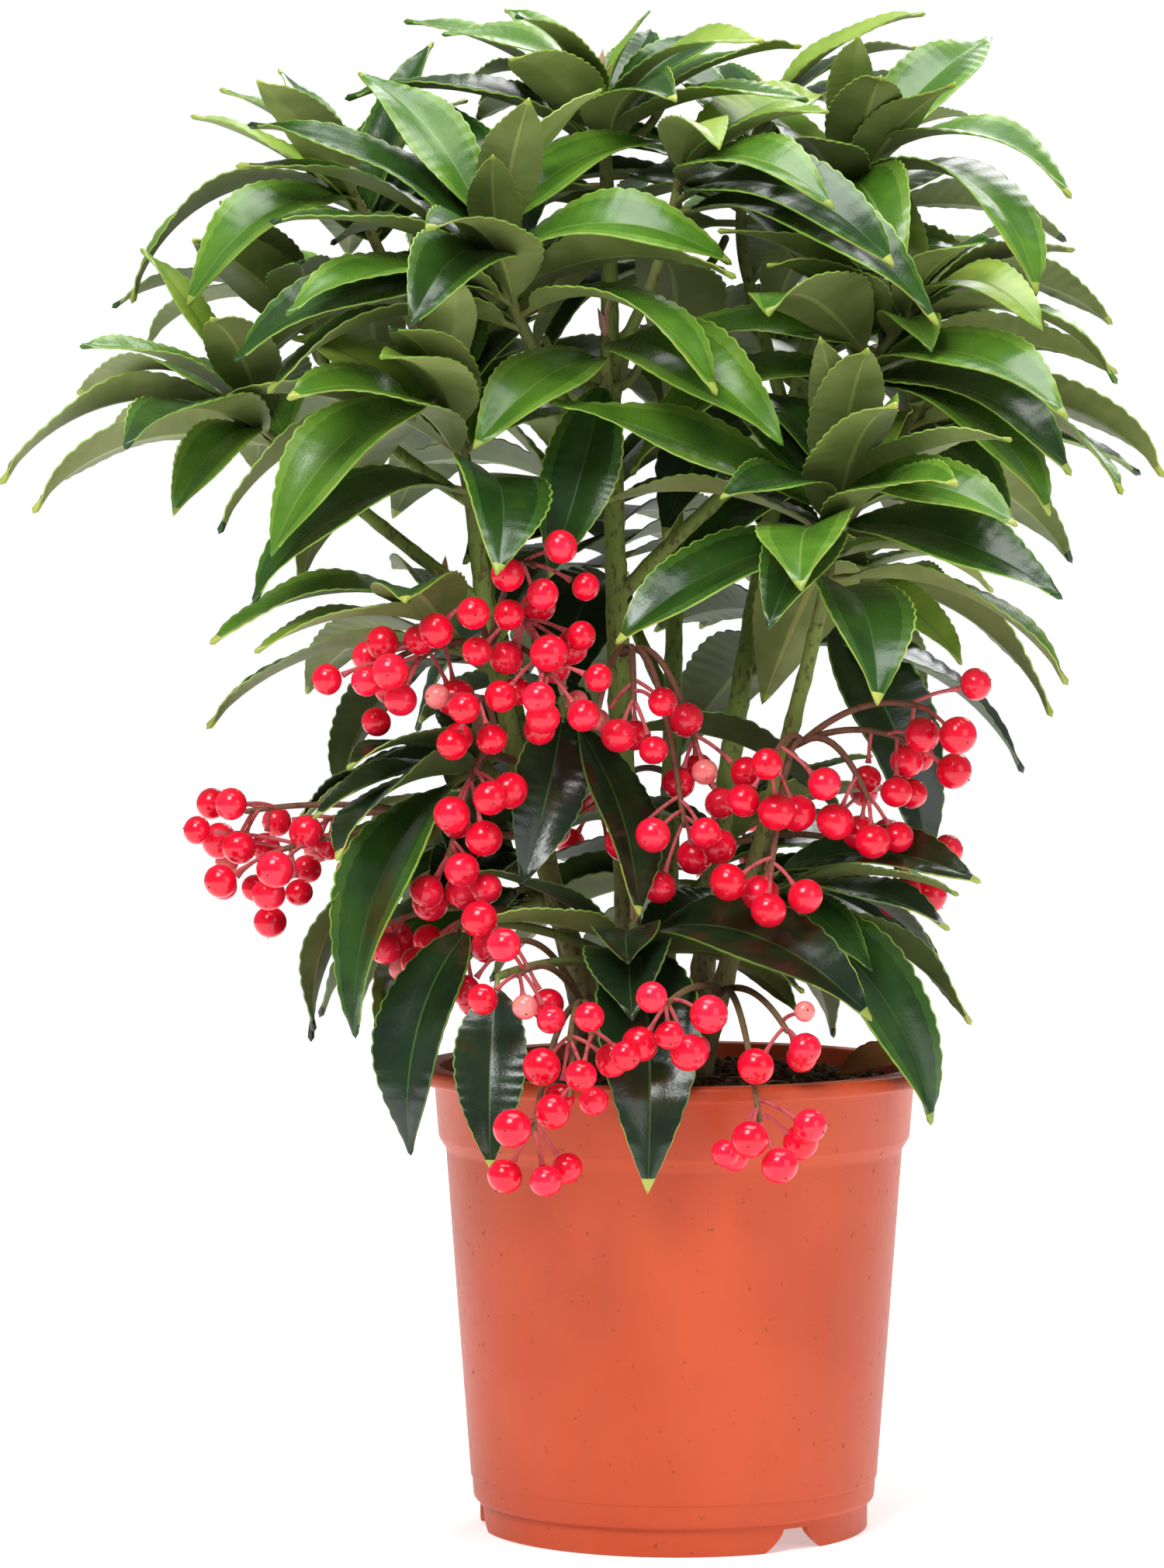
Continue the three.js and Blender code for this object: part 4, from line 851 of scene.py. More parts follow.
# %% Room for balls and leaves
class Room:
    """Everything that is placed, kept as balls or as leaves, each with its owner."""

    def __init__(self):
        self.points = np.zeros((0, 3))
        self.radii = np.zeros(0)
        self.owners = np.zeros(0, int)
        self.berries = np.zeros(0, bool)
        self.leaves = []
        self.numbers = {}

    def number(self, owner):
        return self.numbers.setdefault(owner, len(self.numbers))

    def add_ball(self, point, radius, owner, berry=False):
        self.points = np.vstack([self.points, point])
        self.radii = np.append(self.radii, radius)
        self.owners = np.append(self.owners, self.number(owner))
        self.berries = np.append(self.berries, berry)

    def add_limb(self, limb, owner):
        steps = math.ceil(limb.length / BALL_SPACING)
        for share in np.arange(steps + 1) / steps:
            self.add_ball(limb.at(share), limb.radius(share), owner)

    def others(self, owner):
        return (self.owners != self.number(owner)) | self.berries

    def ball_fits(self, point, radius, gap, owner):
        if near_pot(point[None], radius)[0]:
            return False
        mask = self.others(owner)
        apart = np.linalg.norm(self.points[mask] - point, axis=1)
        if (apart < radius + self.radii[mask] + gap).any():
            return False
        return not any(leaf.near(point[None], radius, gap)[0] for leaf in self.leaves)

    def leaf_fits(self, leaf, owner, bounded, gaps, within=None):
        """within is given for the finer leaves, which also keep the crown's open places free."""
        samples = sample(leaf)
        if near_pot(samples, 0).any() or (samples[:, 2] > CROWN_TOP).any():
            return False
        if bounded and not inside_crown(samples).all():
            return False
        if within and ((samples < within[0]).any() or (samples > within[1]).any() or fills_gap(samples)):
            return False
        mask = self.others(owner)
        gap = np.where(self.berries[mask], gaps["berry"], gaps["limb"])
        if leaf.near(self.points[mask], self.radii[mask], gap).any():
            return False
        middle = leaf.point(leaf.length / 2, 0, 0)
        for other in self.leaves:
            if np.linalg.norm(middle - other.middle) > (leaf.length + other.length) * FAR_SHARE:
                continue
            own = other.owner == owner
            gap = gaps["own" if own else "leaf"]
            skip = math.ceil(SAMPLE_STATIONS * STALK_SHARE) * len(SAMPLE_SIDES) if own else 0
            if other.near(samples[skip:], 0, gap).any() or leaf.near(other.samples[skip:], 0, gap).any():
                return False
        leaf.owner, leaf.samples, leaf.middle = owner, samples, middle
        self.leaves.append(leaf)
        return True


room = Room()
print("room is empty:", len(room.leaves))


# %% Limbs, twigs and stalks
limbs = {name: Limb(*curve) for name, curve in STEMS.items()}
for name, (parent, height, *curve) in BOUGHS.items():
    limbs[name] = Limb(limbs[parent].at_height(height), *curve)
for name, limb in limbs.items():
    room.add_limb(limb, name)


def grow_twig(mass):
    """A twig starts in line with the tip of its limb, or on the axis of the limb that it leaves."""
    limb = limbs[mass["limb"]]
    apex = np.array(mass["apex"], float)
    if mass["height"]:
        start = limb.at_height(mass["height"])
        bend = (apex[0], apex[1], start[2] + (apex[2] - start[2]) * TWIG_LIFT)
        return Limb(start, bend, apex, (TWIG_RADIUS, TWIG_TIP_RADIUS))
    direction = limb.heading(1)
    start = limb.at(1) + direction * CLEAR
    bend = start + direction * np.linalg.norm(apex - start) * TWIG_RUN
    return Limb(start, bend, apex, (limb.radii[1], TWIG_TIP_RADIUS))


def grow_peduncle(owner, fork, heading, centre):
    """A stalk that arches from the fork of its spray to the centre of an umbel."""
    root = fork - heading * PEDUNCLE_RADIUS
    bend = (root + centre) / 2
    bend[2] = max(root[2], centre[2]) + STALK_ARCH
    peduncle = Limb(root, bend, centre, (PEDUNCLE_RADIUS, PEDUNCLE_RADIUS * STALK_TAPER))
    room.add_limb(peduncle, owner)
    return peduncle


def grow_stalks(name, limb_name, height, umbels):
    """The stub of a spray and its stalks. Where its berries go is kept with them."""
    start = limbs[limb_name].at_height(height)
    centres = [np.array(umbel[:3], float) for umbel in umbels]
    heading = np.mean(centres, axis=0) - start
    heading[2] = max(heading[2], 0) + STALK_ARCH
    heading = unit(heading)
    fork = start + heading * STUB_LENGTH
    stub = Limb(start, (start + fork) / 2, fork, (PEDUNCLE_RADIUS * STUB_SWELL, PEDUNCLE_RADIUS))
    room.add_limb(stub, name)
    peduncles = [grow_peduncle(name, fork, heading, centre) for centre in centres]
    return {"stub": stub, "peduncles": peduncles, "counts": [umbel[3] for umbel in umbels], "berries": []}


grown = {}
for index, mass in enumerate(MASSES):
    twig = grow_twig(mass)
    room.add_limb(twig, mass["name"])
    grown[mass["name"]] = {"twig": twig, "side_twigs": [], "leaves": [], "draw": seeded("mass", index)}
sprays = {name: grow_stalks(name, *spray) for name, spray in SPRAYS.items()}
print("balls kept for limbs, twigs and stalks:", len(room.radii))


# %% Leaves set one by one
def base_on_twig(twig, k, count):
    """Where leaf k of so many leaves a twig: the youngest is nearest its tip."""
    spacing = min(LEAF_SPACING, (twig.length * ROSETTE_SHARE - TIP_BARE) / max(1, count - 1))
    return twig.at(1 - (TIP_BARE + k * spacing) / twig.length)


def place_leaf(name, base, values, tries, gaps=COARSE_GAPS, within=None):
    """A leaf of a mass is tried in a few nearby places before it is left out."""
    bearing, slope, length, droop, roll = values
    for turn, lift in tries:
        leaf = Leaf(base, bearing + turn, slope + lift, length, droop, roll)
        if room.leaf_fits(leaf, name, tries is RULE_TRIES, gaps, within):
            grown[name]["leaves"].append(leaf)
            return


for mass in MASSES:
    count = len(mass["set"]) + mass["leaves"]
    for k, values in enumerate(mass["set"]):
        base = base_on_twig(grown[mass["name"]]["twig"], k, count)
        place_leaf(mass["name"], base, aimed(base, *values), SET_TRIES)
print("leaves set by hand:", len(room.leaves))


# %% Berries of the solids
def grow_umbel(peduncle, count, draw, owner, gap, stretches, foremost=-math.inf):
    """Berries stand round the umbel's axis by the golden angle, and one with no room is left out."""
    centre = peduncle.at(1)
    axis = peduncle.heading(1) * UMBEL["along"]
    axis[2] -= UMBEL["hang"]
    axis = unit(axis)
    side = unit(np.cross((0, 0, 1), axis))
    front = np.cross(axis, side)
    phase = draw() * 360
    berries = []
    for k in range(count):
        lean = math.acos(1 - (k + 0.5) / count * UMBEL["spread"])
        turn = math.radians(phase + k * GOLDEN_ANGLE)
        reach = between(PEDICEL_LENGTH, draw())
        direction = (axis * math.cos(lean) + side * math.sin(lean) * math.cos(turn)
                     + front * math.sin(lean) * math.sin(turn))
        direction[2] -= UMBEL["sag"]
        direction = unit(direction)
        back = min(UMBEL["back"], (PEDICEL_START + k * PEDICEL_SPACING) / peduncle.length)
        root = peduncle.at(1 - back)
        for stretch in stretches:
            point = centre + direction * (reach + stretch)
            halfway = (root + point) / 2
            if point[1] < foremost or not room.ball_fits(point, BERRY_RADIUS, gap, owner):
                continue
            if not room.ball_fits(halfway, PEDICEL_RADIUS, gap, owner):
                continue
            room.add_ball(point, BERRY_RADIUS, owner, True)
            room.add_ball(halfway, PEDICEL_RADIUS, owner)
            berries.append((root, point))
            break
    return berries


for index, (name, parts) in enumerate(sprays.items()):
    draw = seeded("spray", index)
    for peduncle, count in zip(parts["peduncles"], parts["counts"]):
        parts["berries"] += grow_umbel(peduncle, count, draw, name, COARSE_GAPS["berry"], PEDICEL_STRETCHES)
print("berries of the solids:", sum(len(parts["berries"]) for parts in sprays.values()))


# %% Leaves by the rule
def rule_values(rises, k, age, bearing, draw):
    """The bearing, slope, length, bend and roll of leaf k. age goes from 0, the youngest, to 1."""
    droop = between(DROOP, age) + (draw() - 0.5) * DROOP_SPREAD
    rise = between(rises, age) + (draw() - 0.5) * RISE_SPREAD
    share = between((YOUNG_LENGTH, 1), min(1, age / GROWN_AT))
    length = LEAF_LENGTH * share * between(LENGTH_SPREAD, draw())
    roll = (draw() - 0.5) * ROLL_SPREAD
    return bearing + k * GOLDEN_ANGLE, rise - droop / 2, length, droop, roll


for mass in MASSES:
    parts = grown[mass["name"]]
    count = len(mass["set"]) + mass["leaves"]
    for k in range(mass["leaves"]):
        age = k / max(1, mass["leaves"] - 1)
        values = rule_values(mass["rise"], k, age, mass["phase"], parts["draw"])
        base = base_on_twig(parts["twig"], k + len(mass["set"]) / 2, count)
        place_leaf(mass["name"], base, values, RULE_TRIES)
print("leaves after the rule:", len(room.leaves))


# %% Side twigs
def grow_side_twig(name, draw, side_leaves, gaps, within=None):
    """A short side twig with a few smaller leaves, where there is room."""
    parts = grown[name]
    root = parts["twig"].at(between(SIDE_TWIG["from"], draw()))
    bearing = draw() * 360
    reach = between(SIDE_TWIG["reach"], draw())
    out = np.array([math.cos(math.radians(bearing)), math.sin(math.radians(bearing)), 0])
    tip = root + out * reach * SIDE_TWIG["out"]
    tip[2] += reach * SIDE_TWIG["up"]
    bend = root + out * reach * SIDE_TWIG["bend"]
    side = Limb(root, bend, tip, (TWIG_TIP_RADIUS, TWIG_TIP_RADIUS * STALK_TAPER))
    if not all(room.ball_fits(side.at(share), TWIG_TIP_RADIUS, gaps["limb"], name) for share in SIDE_TESTED):
        return
    room.add_limb(side, name)
    parts["side_twigs"].append(side)
    for k, row in enumerate(side_leaves):
        roll = (draw() - 0.5) * SIDE_ROLL_SPREAD
        values = (bearing + k * GOLDEN_ANGLE, row["rise"] - row["droop"] / 2, LEAF_LENGTH * row["length"],
                  row["droop"], roll)
        place_leaf(name, base_on_twig(side, k, len(side_leaves)), values, RULE_TRIES, gaps, within)


for name, parts in grown.items():
    grow_side_twig(name, parts["draw"], SIDE_LEAVES, COARSE_GAPS)
print("leaves as in the solids:", len(room.leaves))
AXIS_SHARES = np.linspace(0, 1, 20)
misfits = {}
for name, parts in grown.items():
    low, high = (np.array(corner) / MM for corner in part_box(name))
    axes = [limb.at(AXIS_SHARES) for limb in (parts["twig"], *parts["side_twigs"])]
    points = np.vstack([leaf.samples for leaf in parts["leaves"]] + axes)
    misfits[name] = max(abs(points.min(0) - low).max(), abs(points.max(0) - high).max())
worst_mass = max(misfits, key=misfits.get)
print("farthest that a mass's reach is from its solid's, in mm:", worst_mass, round(misfits[worst_mass], 2))

# %% [markdown]
# ## Carried finer
# The solids keep wide gaps and few leaves, so that each stays one simple body. The real shoots are
# denser. The same rule runs on with smaller gaps: more umbels and more berries in each, more leaves
# between the first ones, and up to two more side twigs on each shoot. Two low leaves at the front
# left are drawn anew as four. Nothing reaches more than about a millimetre past the solids' box.

# %% The finer pass
FINE_BERRIES = 1.6
FINE_STRETCHES = (0, 2, -2, 4, -4, 6)
FINE_LEAVES = 14
FINE_TURN = 68
FINE_SIDE_LEAVES = [{"rise": 50, "droop": 45, "length": 0.6}, {"rise": 24, "droop": 65, "length": 0.78},
                    {"rise": 8, "droop": 75, "length": 0.86}]
FINE_UMBELS = {
    "berries_left_upper": [(-40, -56, 278, 4), (-60, -58, 266, 4), (-36, -62, 248, 4), (-82, -50, 250, 3)],
    "berries_left_mid": [(-56, -58, 240, 3)],
    "berries_left_outer": [(-122, -22, 208, 3)],
    "berries_centre": [(-22, -50, 238, 2)],
    "berries_right": [(70, -46, 238, 2)],
    "berries_front_left": [(-44, -84, 166, 2), (-24, -90, 150, 4), (-30, -90, 134, 2)],
    "berries_front_right": [(-4, -90, 158, 3)],
}
FINE_MARGIN = 1
FINE_SIDE_TWIGS = 2
LOW_LEAF_ROOT = 0.5  # where on its twig the side twig of a low leaf starts
within = (CAD_LOW - FINE_MARGIN, CAD_HIGH + FINE_MARGIN)
foremost = CAD_LOW[1] + BERRY_RADIUS - 2 * FINE_MARGIN


def redraw_low_leaf(name, foot, tip):
    """A leaf that hangs from the end of a side twig of its own."""
    foot = np.array(foot, float)
    root = grown[name]["twig"].at(LOW_LEAF_ROOT)
    bend = (root + foot) / 2 + np.array([0, 0, STALK_ARCH])
    side = Limb(root, bend, foot, (TWIG_TIP_RADIUS, TWIG_TIP_RADIUS * STALK_TAPER))
    place_leaf(name, foot, aimed(foot, *tip), SET_TRIES, FINE_GAPS, within)
    room.add_limb(side, name)
    grown[name]["side_twigs"].append(side)


for name in ("skirt_front", "skirt_left"):
    room.leaves.remove(grown[name]["leaves"].pop(0))
redraw_low_leaf("skirt_front", (-56, -44, 178), (-76, 107, -66, 80, 0))
redraw_low_leaf("skirt_left", (-60, -24, 218), (-92, 141, -54, 80, 0))
redraw_low_leaf("skirt_left", (-70, -34, 200), (-104, 143, -30, 80, 0))
redraw_low_leaf("skirt_front", (-50, -62, 164), (-50, 103, -86, 40, 0))
print("leaves with the low ones drawn anew:", len(room.leaves))
for index, (name, parts) in enumerate(sprays.items()):
    draw = seeded("fine_spray", index)
    fork, heading = parts["stub"].at(1), parts["stub"].heading(1)
    for *centre, count in FINE_UMBELS.get(name, []):
        parts["peduncles"].append(grow_peduncle(name, fork, heading, np.array(centre, float)))
        parts["counts"].append(count)
    for peduncle, count in zip(parts["peduncles"], parts["counts"]):
        parts["berries"] += grow_umbel(peduncle, round(count * FINE_BERRIES) + 1, draw, name,
                                       FINE_GAPS["berry"], FINE_STRETCHES, foremost)
print("berries in all:", sum(len(parts["berries"]) for parts in sprays.values()))
for index, mass in enumerate(MASSES):
    draw = seeded("fine_mass", index)
    for k in range(FINE_LEAVES):
        age = k / (FINE_LEAVES - 1)
        values = rule_values(mass["rise"], k, age, mass["phase"] + FINE_TURN, draw)
        base = base_on_twig(grown[mass["name"]]["twig"], k + 0.5, FINE_LEAVES)
        place_leaf(mass["name"], base, values, RULE_TRIES, FINE_GAPS, within)
print("leaves after the finer rule:", len(room.leaves))
for number in range(FINE_SIDE_TWIGS):
    for index, name in enumerate(grown):
        draw = seeded("fine_side", index * FINE_SIDE_TWIGS + number)
        grow_side_twig(name, draw, FINE_SIDE_LEAVES, FINE_GAPS, within)
print("leaves in all:", len(room.leaves))

# %% [markdown]
# ## Leaves
# A leaf of this plant is about 8 cm long, thick and smooth. Its margin has shallow rounded lobes
# with a pale bead in each notch, its midrib is a pale groove above and a ridge below, and its two
# halves bulge a little between the side veins. A subdivided plane with a texture would be flat at
# its edge, so each leaf is a closed skin of rings round its midrib, with the lobes in its outline.

# %% The skin of one leaf
LEAF_ROWS = 60
SIDES_ABOVE = np.array([-1, -0.96, -0.7, -0.32, -0.03, 0.03, 0.32, 0.7, 0.96, 1])
SIDES_BELOW = np.array([1, 0.5, 0.06, -0.06, -0.5, -1])
RING = np.concatenate([SIDES_ABOVE, SIDES_BELOW])
IS_ABOVE = np.arange(len(RING)) < len(SIDES_ABOVE)
LOBES = 16
LOBE_DEPTH = 0.05
FULL_WIDTH_AT = 1.02  # a leaf longer than this share of a full one gets no wider
DRAWN_TIP = 0.3  # how much the outline narrows to a drawn-out tip
UNFOLDING = {"from": 0.45, "over": 0.5, "share": 0.38}  # a steep young leaf is still narrow
LEAF_SHAPE = {"half_thickness": 0.2, "groove": 0.16, "ridge": 0.8, "ridge_end": 1.1, "stalk": 1.05,
              "fold_middle": 1.25, "fold_loss": 0.45, "quilt": 0.08, "quilt_slant": 0.8, "ruffle": 0.32,
              "wave": 0.9, "waves": 1.7, "sickle": 0.035, "twist": 14, "twist_from": 0.4}
STALK_STATIONS = [0.004, PETIOLE * 0.5, PETIOLE * 0.9]
MIDRIB_WIDTH = 0.1
ROUNDNESS = 0.98
SKIN_COLUMNS = len(RING)


def leaf_skin(leaf, rows, draw):
    """The points of a leaf: rings from the stalk to the tip, between two single end points."""
    size = min(leaf.length, LEAF_LENGTH * FULL_WIDTH_AT) / LEAF_LENGTH
    blade = np.linspace(0, 1, rows + 1)[1:-1]
    share = np.concatenate([STALK_STATIONS, PETIOLE + (1 - PETIOLE) * blade])
    blade = np.clip((share - PETIOLE) / (1 - PETIOLE), 0, 1)[:, None]
    lobe = np.abs(np.sin(np.pi * LOBES * blade))
    rise = unit(leaf.point(leaf.length, 0, 0) - leaf.base)[2]
    young = min(1, max(0, (rise - UNFOLDING["from"]) / UNFOLDING["over"]))
    widest = size * LEAF_LENGTH * LEAF_WIDTH_RATIO / 2 * (1 - UNFOLDING["share"] * young)
    half = widest * np.sin(np.pi * blade**OUTLINE_POWER) ** OUTLINE_POWER * (1 - DRAWN_TIP * blade**5)
    half = half * (1 - LOBE_DEPTH * (1 - lobe))
    stalk = LEAF_SHAPE["stalk"] * size
    half = np.maximum(half, stalk * (1 - blade))
    spread = np.clip((half - stalk) / (3 * stalk), 0, 1)
    side = RING[None, :]
    far = np.abs(side)
    middle = far < MIDRIB_WIDTH
    skin = np.where(IS_ABOVE, 1.0, -1.0)
    thick = skin * LEAF_SHAPE["half_thickness"]
    thick = thick - np.where(middle & IS_ABOVE, LEAF_SHAPE["groove"], 0)
    thick = thick - np.where(middle & ~IS_ABOVE, LEAF_SHAPE["ridge"] * (LEAF_SHAPE["ridge_end"] - blade), 0)
    rounded = skin * stalk * np.sqrt(1 - far**2 * ROUNDNESS)
    fold = LEAF_FOLD * half * far * (LEAF_SHAPE["fold_middle"] - LEAF_SHAPE["fold_loss"] * far)
    bulge = 4 * far * (1 - far) * (1 - blade**4)
    veins = LOBES * blade - LEAF_SHAPE["quilt_slant"] * far
    quilt = LEAF_SHAPE["quilt"] * size * np.cos(2 * np.pi * veins) * bulge
    ruffle = LEAF_SHAPE["ruffle"] * size * (lobe - 0.5) * far**4
    phases = np.where(side > 0, draw(), draw()) * 2 * np.pi
    swing = np.sin(2 * np.pi * LEAF_SHAPE["waves"] * blade + phases)
    wave = LEAF_SHAPE["wave"] * size * swing * far**2
    twist = np.radians(LEAF_SHAPE["twist"] * (draw() * 2 - 1)) * (blade - LEAF_SHAPE["twist_from"])
    across = side * half
    height = np.where(spread > 0, fold + quilt + ruffle + wave, 0) * spread
    height = height + spread * thick + (1 - spread) * rounded + across * np.sin(twist) * spread
    bend = LEAF_SHAPE["sickle"] * (draw() * 2 - 1) * leaf.length * np.sin(np.pi * share[:, None])
    along = np.broadcast_to(share[:, None] * leaf.length, across.shape)
    rings = leaf.point(along, across * np.cos(twist) + bend, height).reshape(-1, 3)
    ends = leaf.point([0, leaf.length], [0, 0], [0, 0])
    return np.vstack([rings, ends]), len(share)


test_leaf = Leaf((0, 0, 0), 0, 20, LEAF_LENGTH, 50, 0)
test_points, test_rings = leaf_skin(test_leaf, LEAF_ROWS, seeded("skin"))
print("points on a leaf:", len(test_points), "faces:", len(ring_faces(test_rings, SKIN_COLUMNS)))


# %% The finish of each face of a leaf
# The deep tone is painted shade: a darker blade, margin, midrib and underside for leaves low or inside the
# crown.
TONES = {
    "deep": ("top_deep", "top_deep", "margin_dark", "midrib_dark", "under_deep", "under", "stalk"),
    "dark": ("top_dark", "edge_dark", "margin_light", "midrib_dark", "under", "ridge", "stalk"),
    "mid": ("top_mid", "edge_mid", "margin_light", "midrib_light", "under", "ridge", "stalk"),
    "young": ("top_young", "top_young", "margin_light", "midrib_light", "under_pale", "ridge", "stalk"),
}
TONES = {tone: [SLOT_OF["leaf_" + part] for part in parts] for tone, parts in TONES.items()}
for tone in ("bud", "dry_leaf"):
    TONES[tone] = [SLOT_OF[tone]] * len(TONES["deep"])
STALK_ROWS = 3
YELLOW_TIP = 4
YELLOW_RIM = 14
LEAF_SHARP_ANGLE = 48


def skin_numbers(ring_count, tone, tipped):
    """Slots of a leaf's faces: margin, blade and midrib above, blade and ridge below, stalk and tip."""
    above, edge, margin, midrib, below, ridge, stalk = TONES[tone]
    tip = SLOT_OF["leaf_tip"] if tipped else above
    numbers = []
    for row in range(ring_count - 1):
        rim = tip if tipped and row > ring_count - YELLOW_RIM else margin
        if row < STALK_ROWS:
            numbers += [stalk] * SKIN_COLUMNS
        elif row > ring_count - YELLOW_TIP:
            numbers += [tip] * SKIN_COLUMNS
        else:
            numbers += [rim, edge, above, above, midrib, above, above, edge, rim]
            numbers += [rim, below, below, ridge, below, below, rim]
    return numbers + [stalk, tip] * SKIN_COLUMNS


def joined_leaves(name, entries):
    """One piece from (leaf, rows, tone, tipped) entries."""
    points, faces, numbers, start = [], [], [], 0
    for entry_number, (leaf, rows, tone, tipped) in enumerate(entries):
        draw = seeded("skin", entry_number, int(leaf.length * 100))
        skin, ring_count = leaf_skin(leaf, rows, draw)
        skin_faces = ring_faces(ring_count, SKIN_COLUMNS)
        faces += [tuple(start + corner for corner in face) for face in skin_faces]
        numbers += skin_numbers(ring_count, tone, tipped)
        points.append(skin)
        start += len(skin)
    return make_piece(name, np.vstack(points), faces, LEAF_FINISHES, numbers, LEAF_SHARP_ANGLE)


print("slots:", SLOT_OF)

# %% Every mass gets its leaves
BUD_ROWS = 10
BUDS = [(0, 84, 13, 14), (130, 70, 10, 20), (250, 64, 9, 24)]  # bearing, slope, length and bend of each
# Leaves below this height, or inside the box below, take the deep or the dark tone as painted shade.
SHADE_PAINTED_BELOW = 250
SHADE_PAINTED_INSIDE = {"depth": 15, "height": 320, "across": 85}
YOUNG_LEAF = 66
TONE_SHARES = {"deep": 0.75, "young": 0.3, "mid": 0.5, "tipped": 0.7}


def leaf_tone(leaf, chance):
    """Leaves low or deep inside the crown take the darkest tones, as painted shade. Elsewhere a short one
    may be a young one.
    """
    x, y, z = leaf.middle
    shaded_inside = y > SHADE_PAINTED_INSIDE["depth"] and z < SHADE_PAINTED_INSIDE["height"] and abs(x - VIEW["x"]) < SHADE_PAINTED_INSIDE["across"]
    if z < SHADE_PAINTED_BELOW or shaded_inside:
        return "deep" if chance < TONE_SHARES["deep"] else "dark"
    if leaf.length < YOUNG_LEAF and chance < TONE_SHARES["young"]:
        return "young"
    return "mid" if chance < TONE_SHARES["mid"] else "dark"


leaf_pieces = []
for index, mass in enumerate(MASSES):
    draw = seeded("tone", index)
    entries = []
    for leaf in grown[mass["name"]]["leaves"]:
        entries.append((leaf, LEAF_ROWS, leaf_tone(leaf, draw()), draw() < TONE_SHARES["tipped"]))
    apex = grown[mass["name"]]["twig"].at(1)
    for bearing, slope, length, droop in BUDS:
        scale = Leaf(apex, bearing + mass["phase"], slope, length, droop, 0)
        entries.append((scale, BUD_ROWS, "bud", False))
    piece = joined_leaves("leaves_of_" + mass["name"], entries)
    hand_over(piece, [mass["name"]])
    leaf_pieces.append(piece)
triangles = [sum(len(face.vertices) - 2 for face in piece.data.polygons) for piece in leaf_pieces]
print("leaf pieces:", len(leaf_pieces), "triangles:", sum(triangles), "most in one:", max(triangles))

# %% [markdown]
# ## Stems and boughs
# The bark of an old stem is thin and finely ridged. It swells at each old leaf scar, and it flares
# where it meets the soil. A plain tube would show as a machine-made rod, so rings of points are laid
# along each limb and pushed in and out by noise, with a swelling at every scar.

# %% Bark relief on the limbs
STEM_SIDES = 24
RING_PITCH = 1.5
RELIEF = {"coarse": 0.10, "coarse_grain": (3.2, 3.2, 9), "fine": 0.05, "fine_grain": (0.9, 0.9, 2.6),
          "scar": 0.12, "scar_width": 1.3, "scar_pitch": 13, "scar_back": 0.45, "tip": 0.35}
SUNK_STEM = 3  # how far under the soil the bark of a stem starts
FEWEST_RINGS = 6
BESIDE = (0.3, 1, 0.1)  # a direction that no limb runs in


def carried_frames(limb, shares):
    """A pair of cross directions at each share, turned as little as possible from one to the next."""
    side = unit(np.cross(limb.heading(shares[0]), BESIDE))
    pairs = []
    for share in shares:
        heading = limb.heading(share)
        side = unit(side - heading * (side @ heading))
        pairs.append((side, np.cross(heading, side)))
    return pairs


def bark_mesh(name, limb, from_share, flare):
    """Rings of points along a limb, pushed in and out. A scar swells most to two opposite sides."""
    rings = max(FEWEST_RINGS, round(limb.length * (1 - from_share) / RING_PITCH))
    shares = np.linspace(from_share, 1, rings)
    pairs = carried_frames(limb, shares)
    points = []
    for share, (side, front) in zip(shares, pairs):
        centre = limb.at(share)
        swell = 1 + flare * math.exp(-(centre[2] - SOIL_TOP) / FLARE_HEIGHT)
        run = share * limb.length
        scar_gap = abs((run + RELIEF["scar_pitch"] / 2) % RELIEF["scar_pitch"] - RELIEF["scar_pitch"] / 2)
        scar = RELIEF["scar"] * math.exp(-((scar_gap / RELIEF["scar_width"]) ** 2))
        turned = GOLDEN_ANGLE * round(run / RELIEF["scar_pitch"])
        for k in range(STEM_SIDES):
            angle = 2 * math.pi * k / STEM_SIDES
            out = side * math.cos(angle) + front * math.sin(angle)
            place = centre + out * limb.radius(share)
            coarse = noise.noise(Vector(place / RELIEF["coarse_grain"])) * RELIEF["coarse"]
            fine = noise.noise(Vector(place / RELIEF["fine_grain"])) * RELIEF["fine"]
            bump = scar * between((RELIEF["scar_back"], 1), math.cos(angle - math.radians(turned)) ** 2)
            points.append(centre + out * limb.radius(share) * swell * (1 + coarse + fine + bump))
    points += [limb.at(from_share), limb.at(1) + limb.heading(1) * limb.radius(1) * RELIEF["tip"]]
    return make_piece(name, points, ring_faces(rings, STEM_SIDES), [STEM_FINISH])


for name, limb in limbs.items():
    from_share = limb.share_at_height(SOIL_TOP - SUNK_STEM) if name in STEMS else 0
    piece = bark_mesh("bark_of_" + name, limb, from_share, STEM_FLARE if name in STEMS else 0)
    hand_over(piece, [name])
print("limbs with bark:", len(limbs), "points on the last:", len(piece.data.vertices))

# %% [markdown]
# ## Twigs and stalks
# Young twigs, the stalks of the berries and their fine pedicels are smooth round shoots. Each is a
# path with a radius at every point, which is what Geometry Nodes are good at: one small tree sweeps
# a circle along all the paths of a piece at once, and takes its sides and finish as named inputs.


# %% A tree that sweeps a circle along paths
def sweep_tree():
    tree = PieceTree("sweep_along_paths", {"Sides": "Int", "Finish": "Material"})
    circle = tree.shape("GeometryNodeCurvePrimitiveCircle",
                        {"Resolution": tree.given["Sides"], "Radius": 1.0})
    flow = tree.shape("GeometryNodeCurveToMesh",
                      {"Curve": tree.given["Start"], "Profile Curve": circle,
                       "Scale": tree.shape("GeometryNodeInputRadius"), "Fill Caps": True})
    flow = tree.shape("GeometryNodeSetShadeSmooth", {"Geometry": flow})
    flow = tree.shape("GeometryNodeRealizeInstances", {"Geometry": flow})
    tree.end(tree.shape("GeometryNodeSetMaterial", {"Geometry": flow, "Material": tree.given["Finish"]}))
    return tree


SWEEP = sweep_tree()


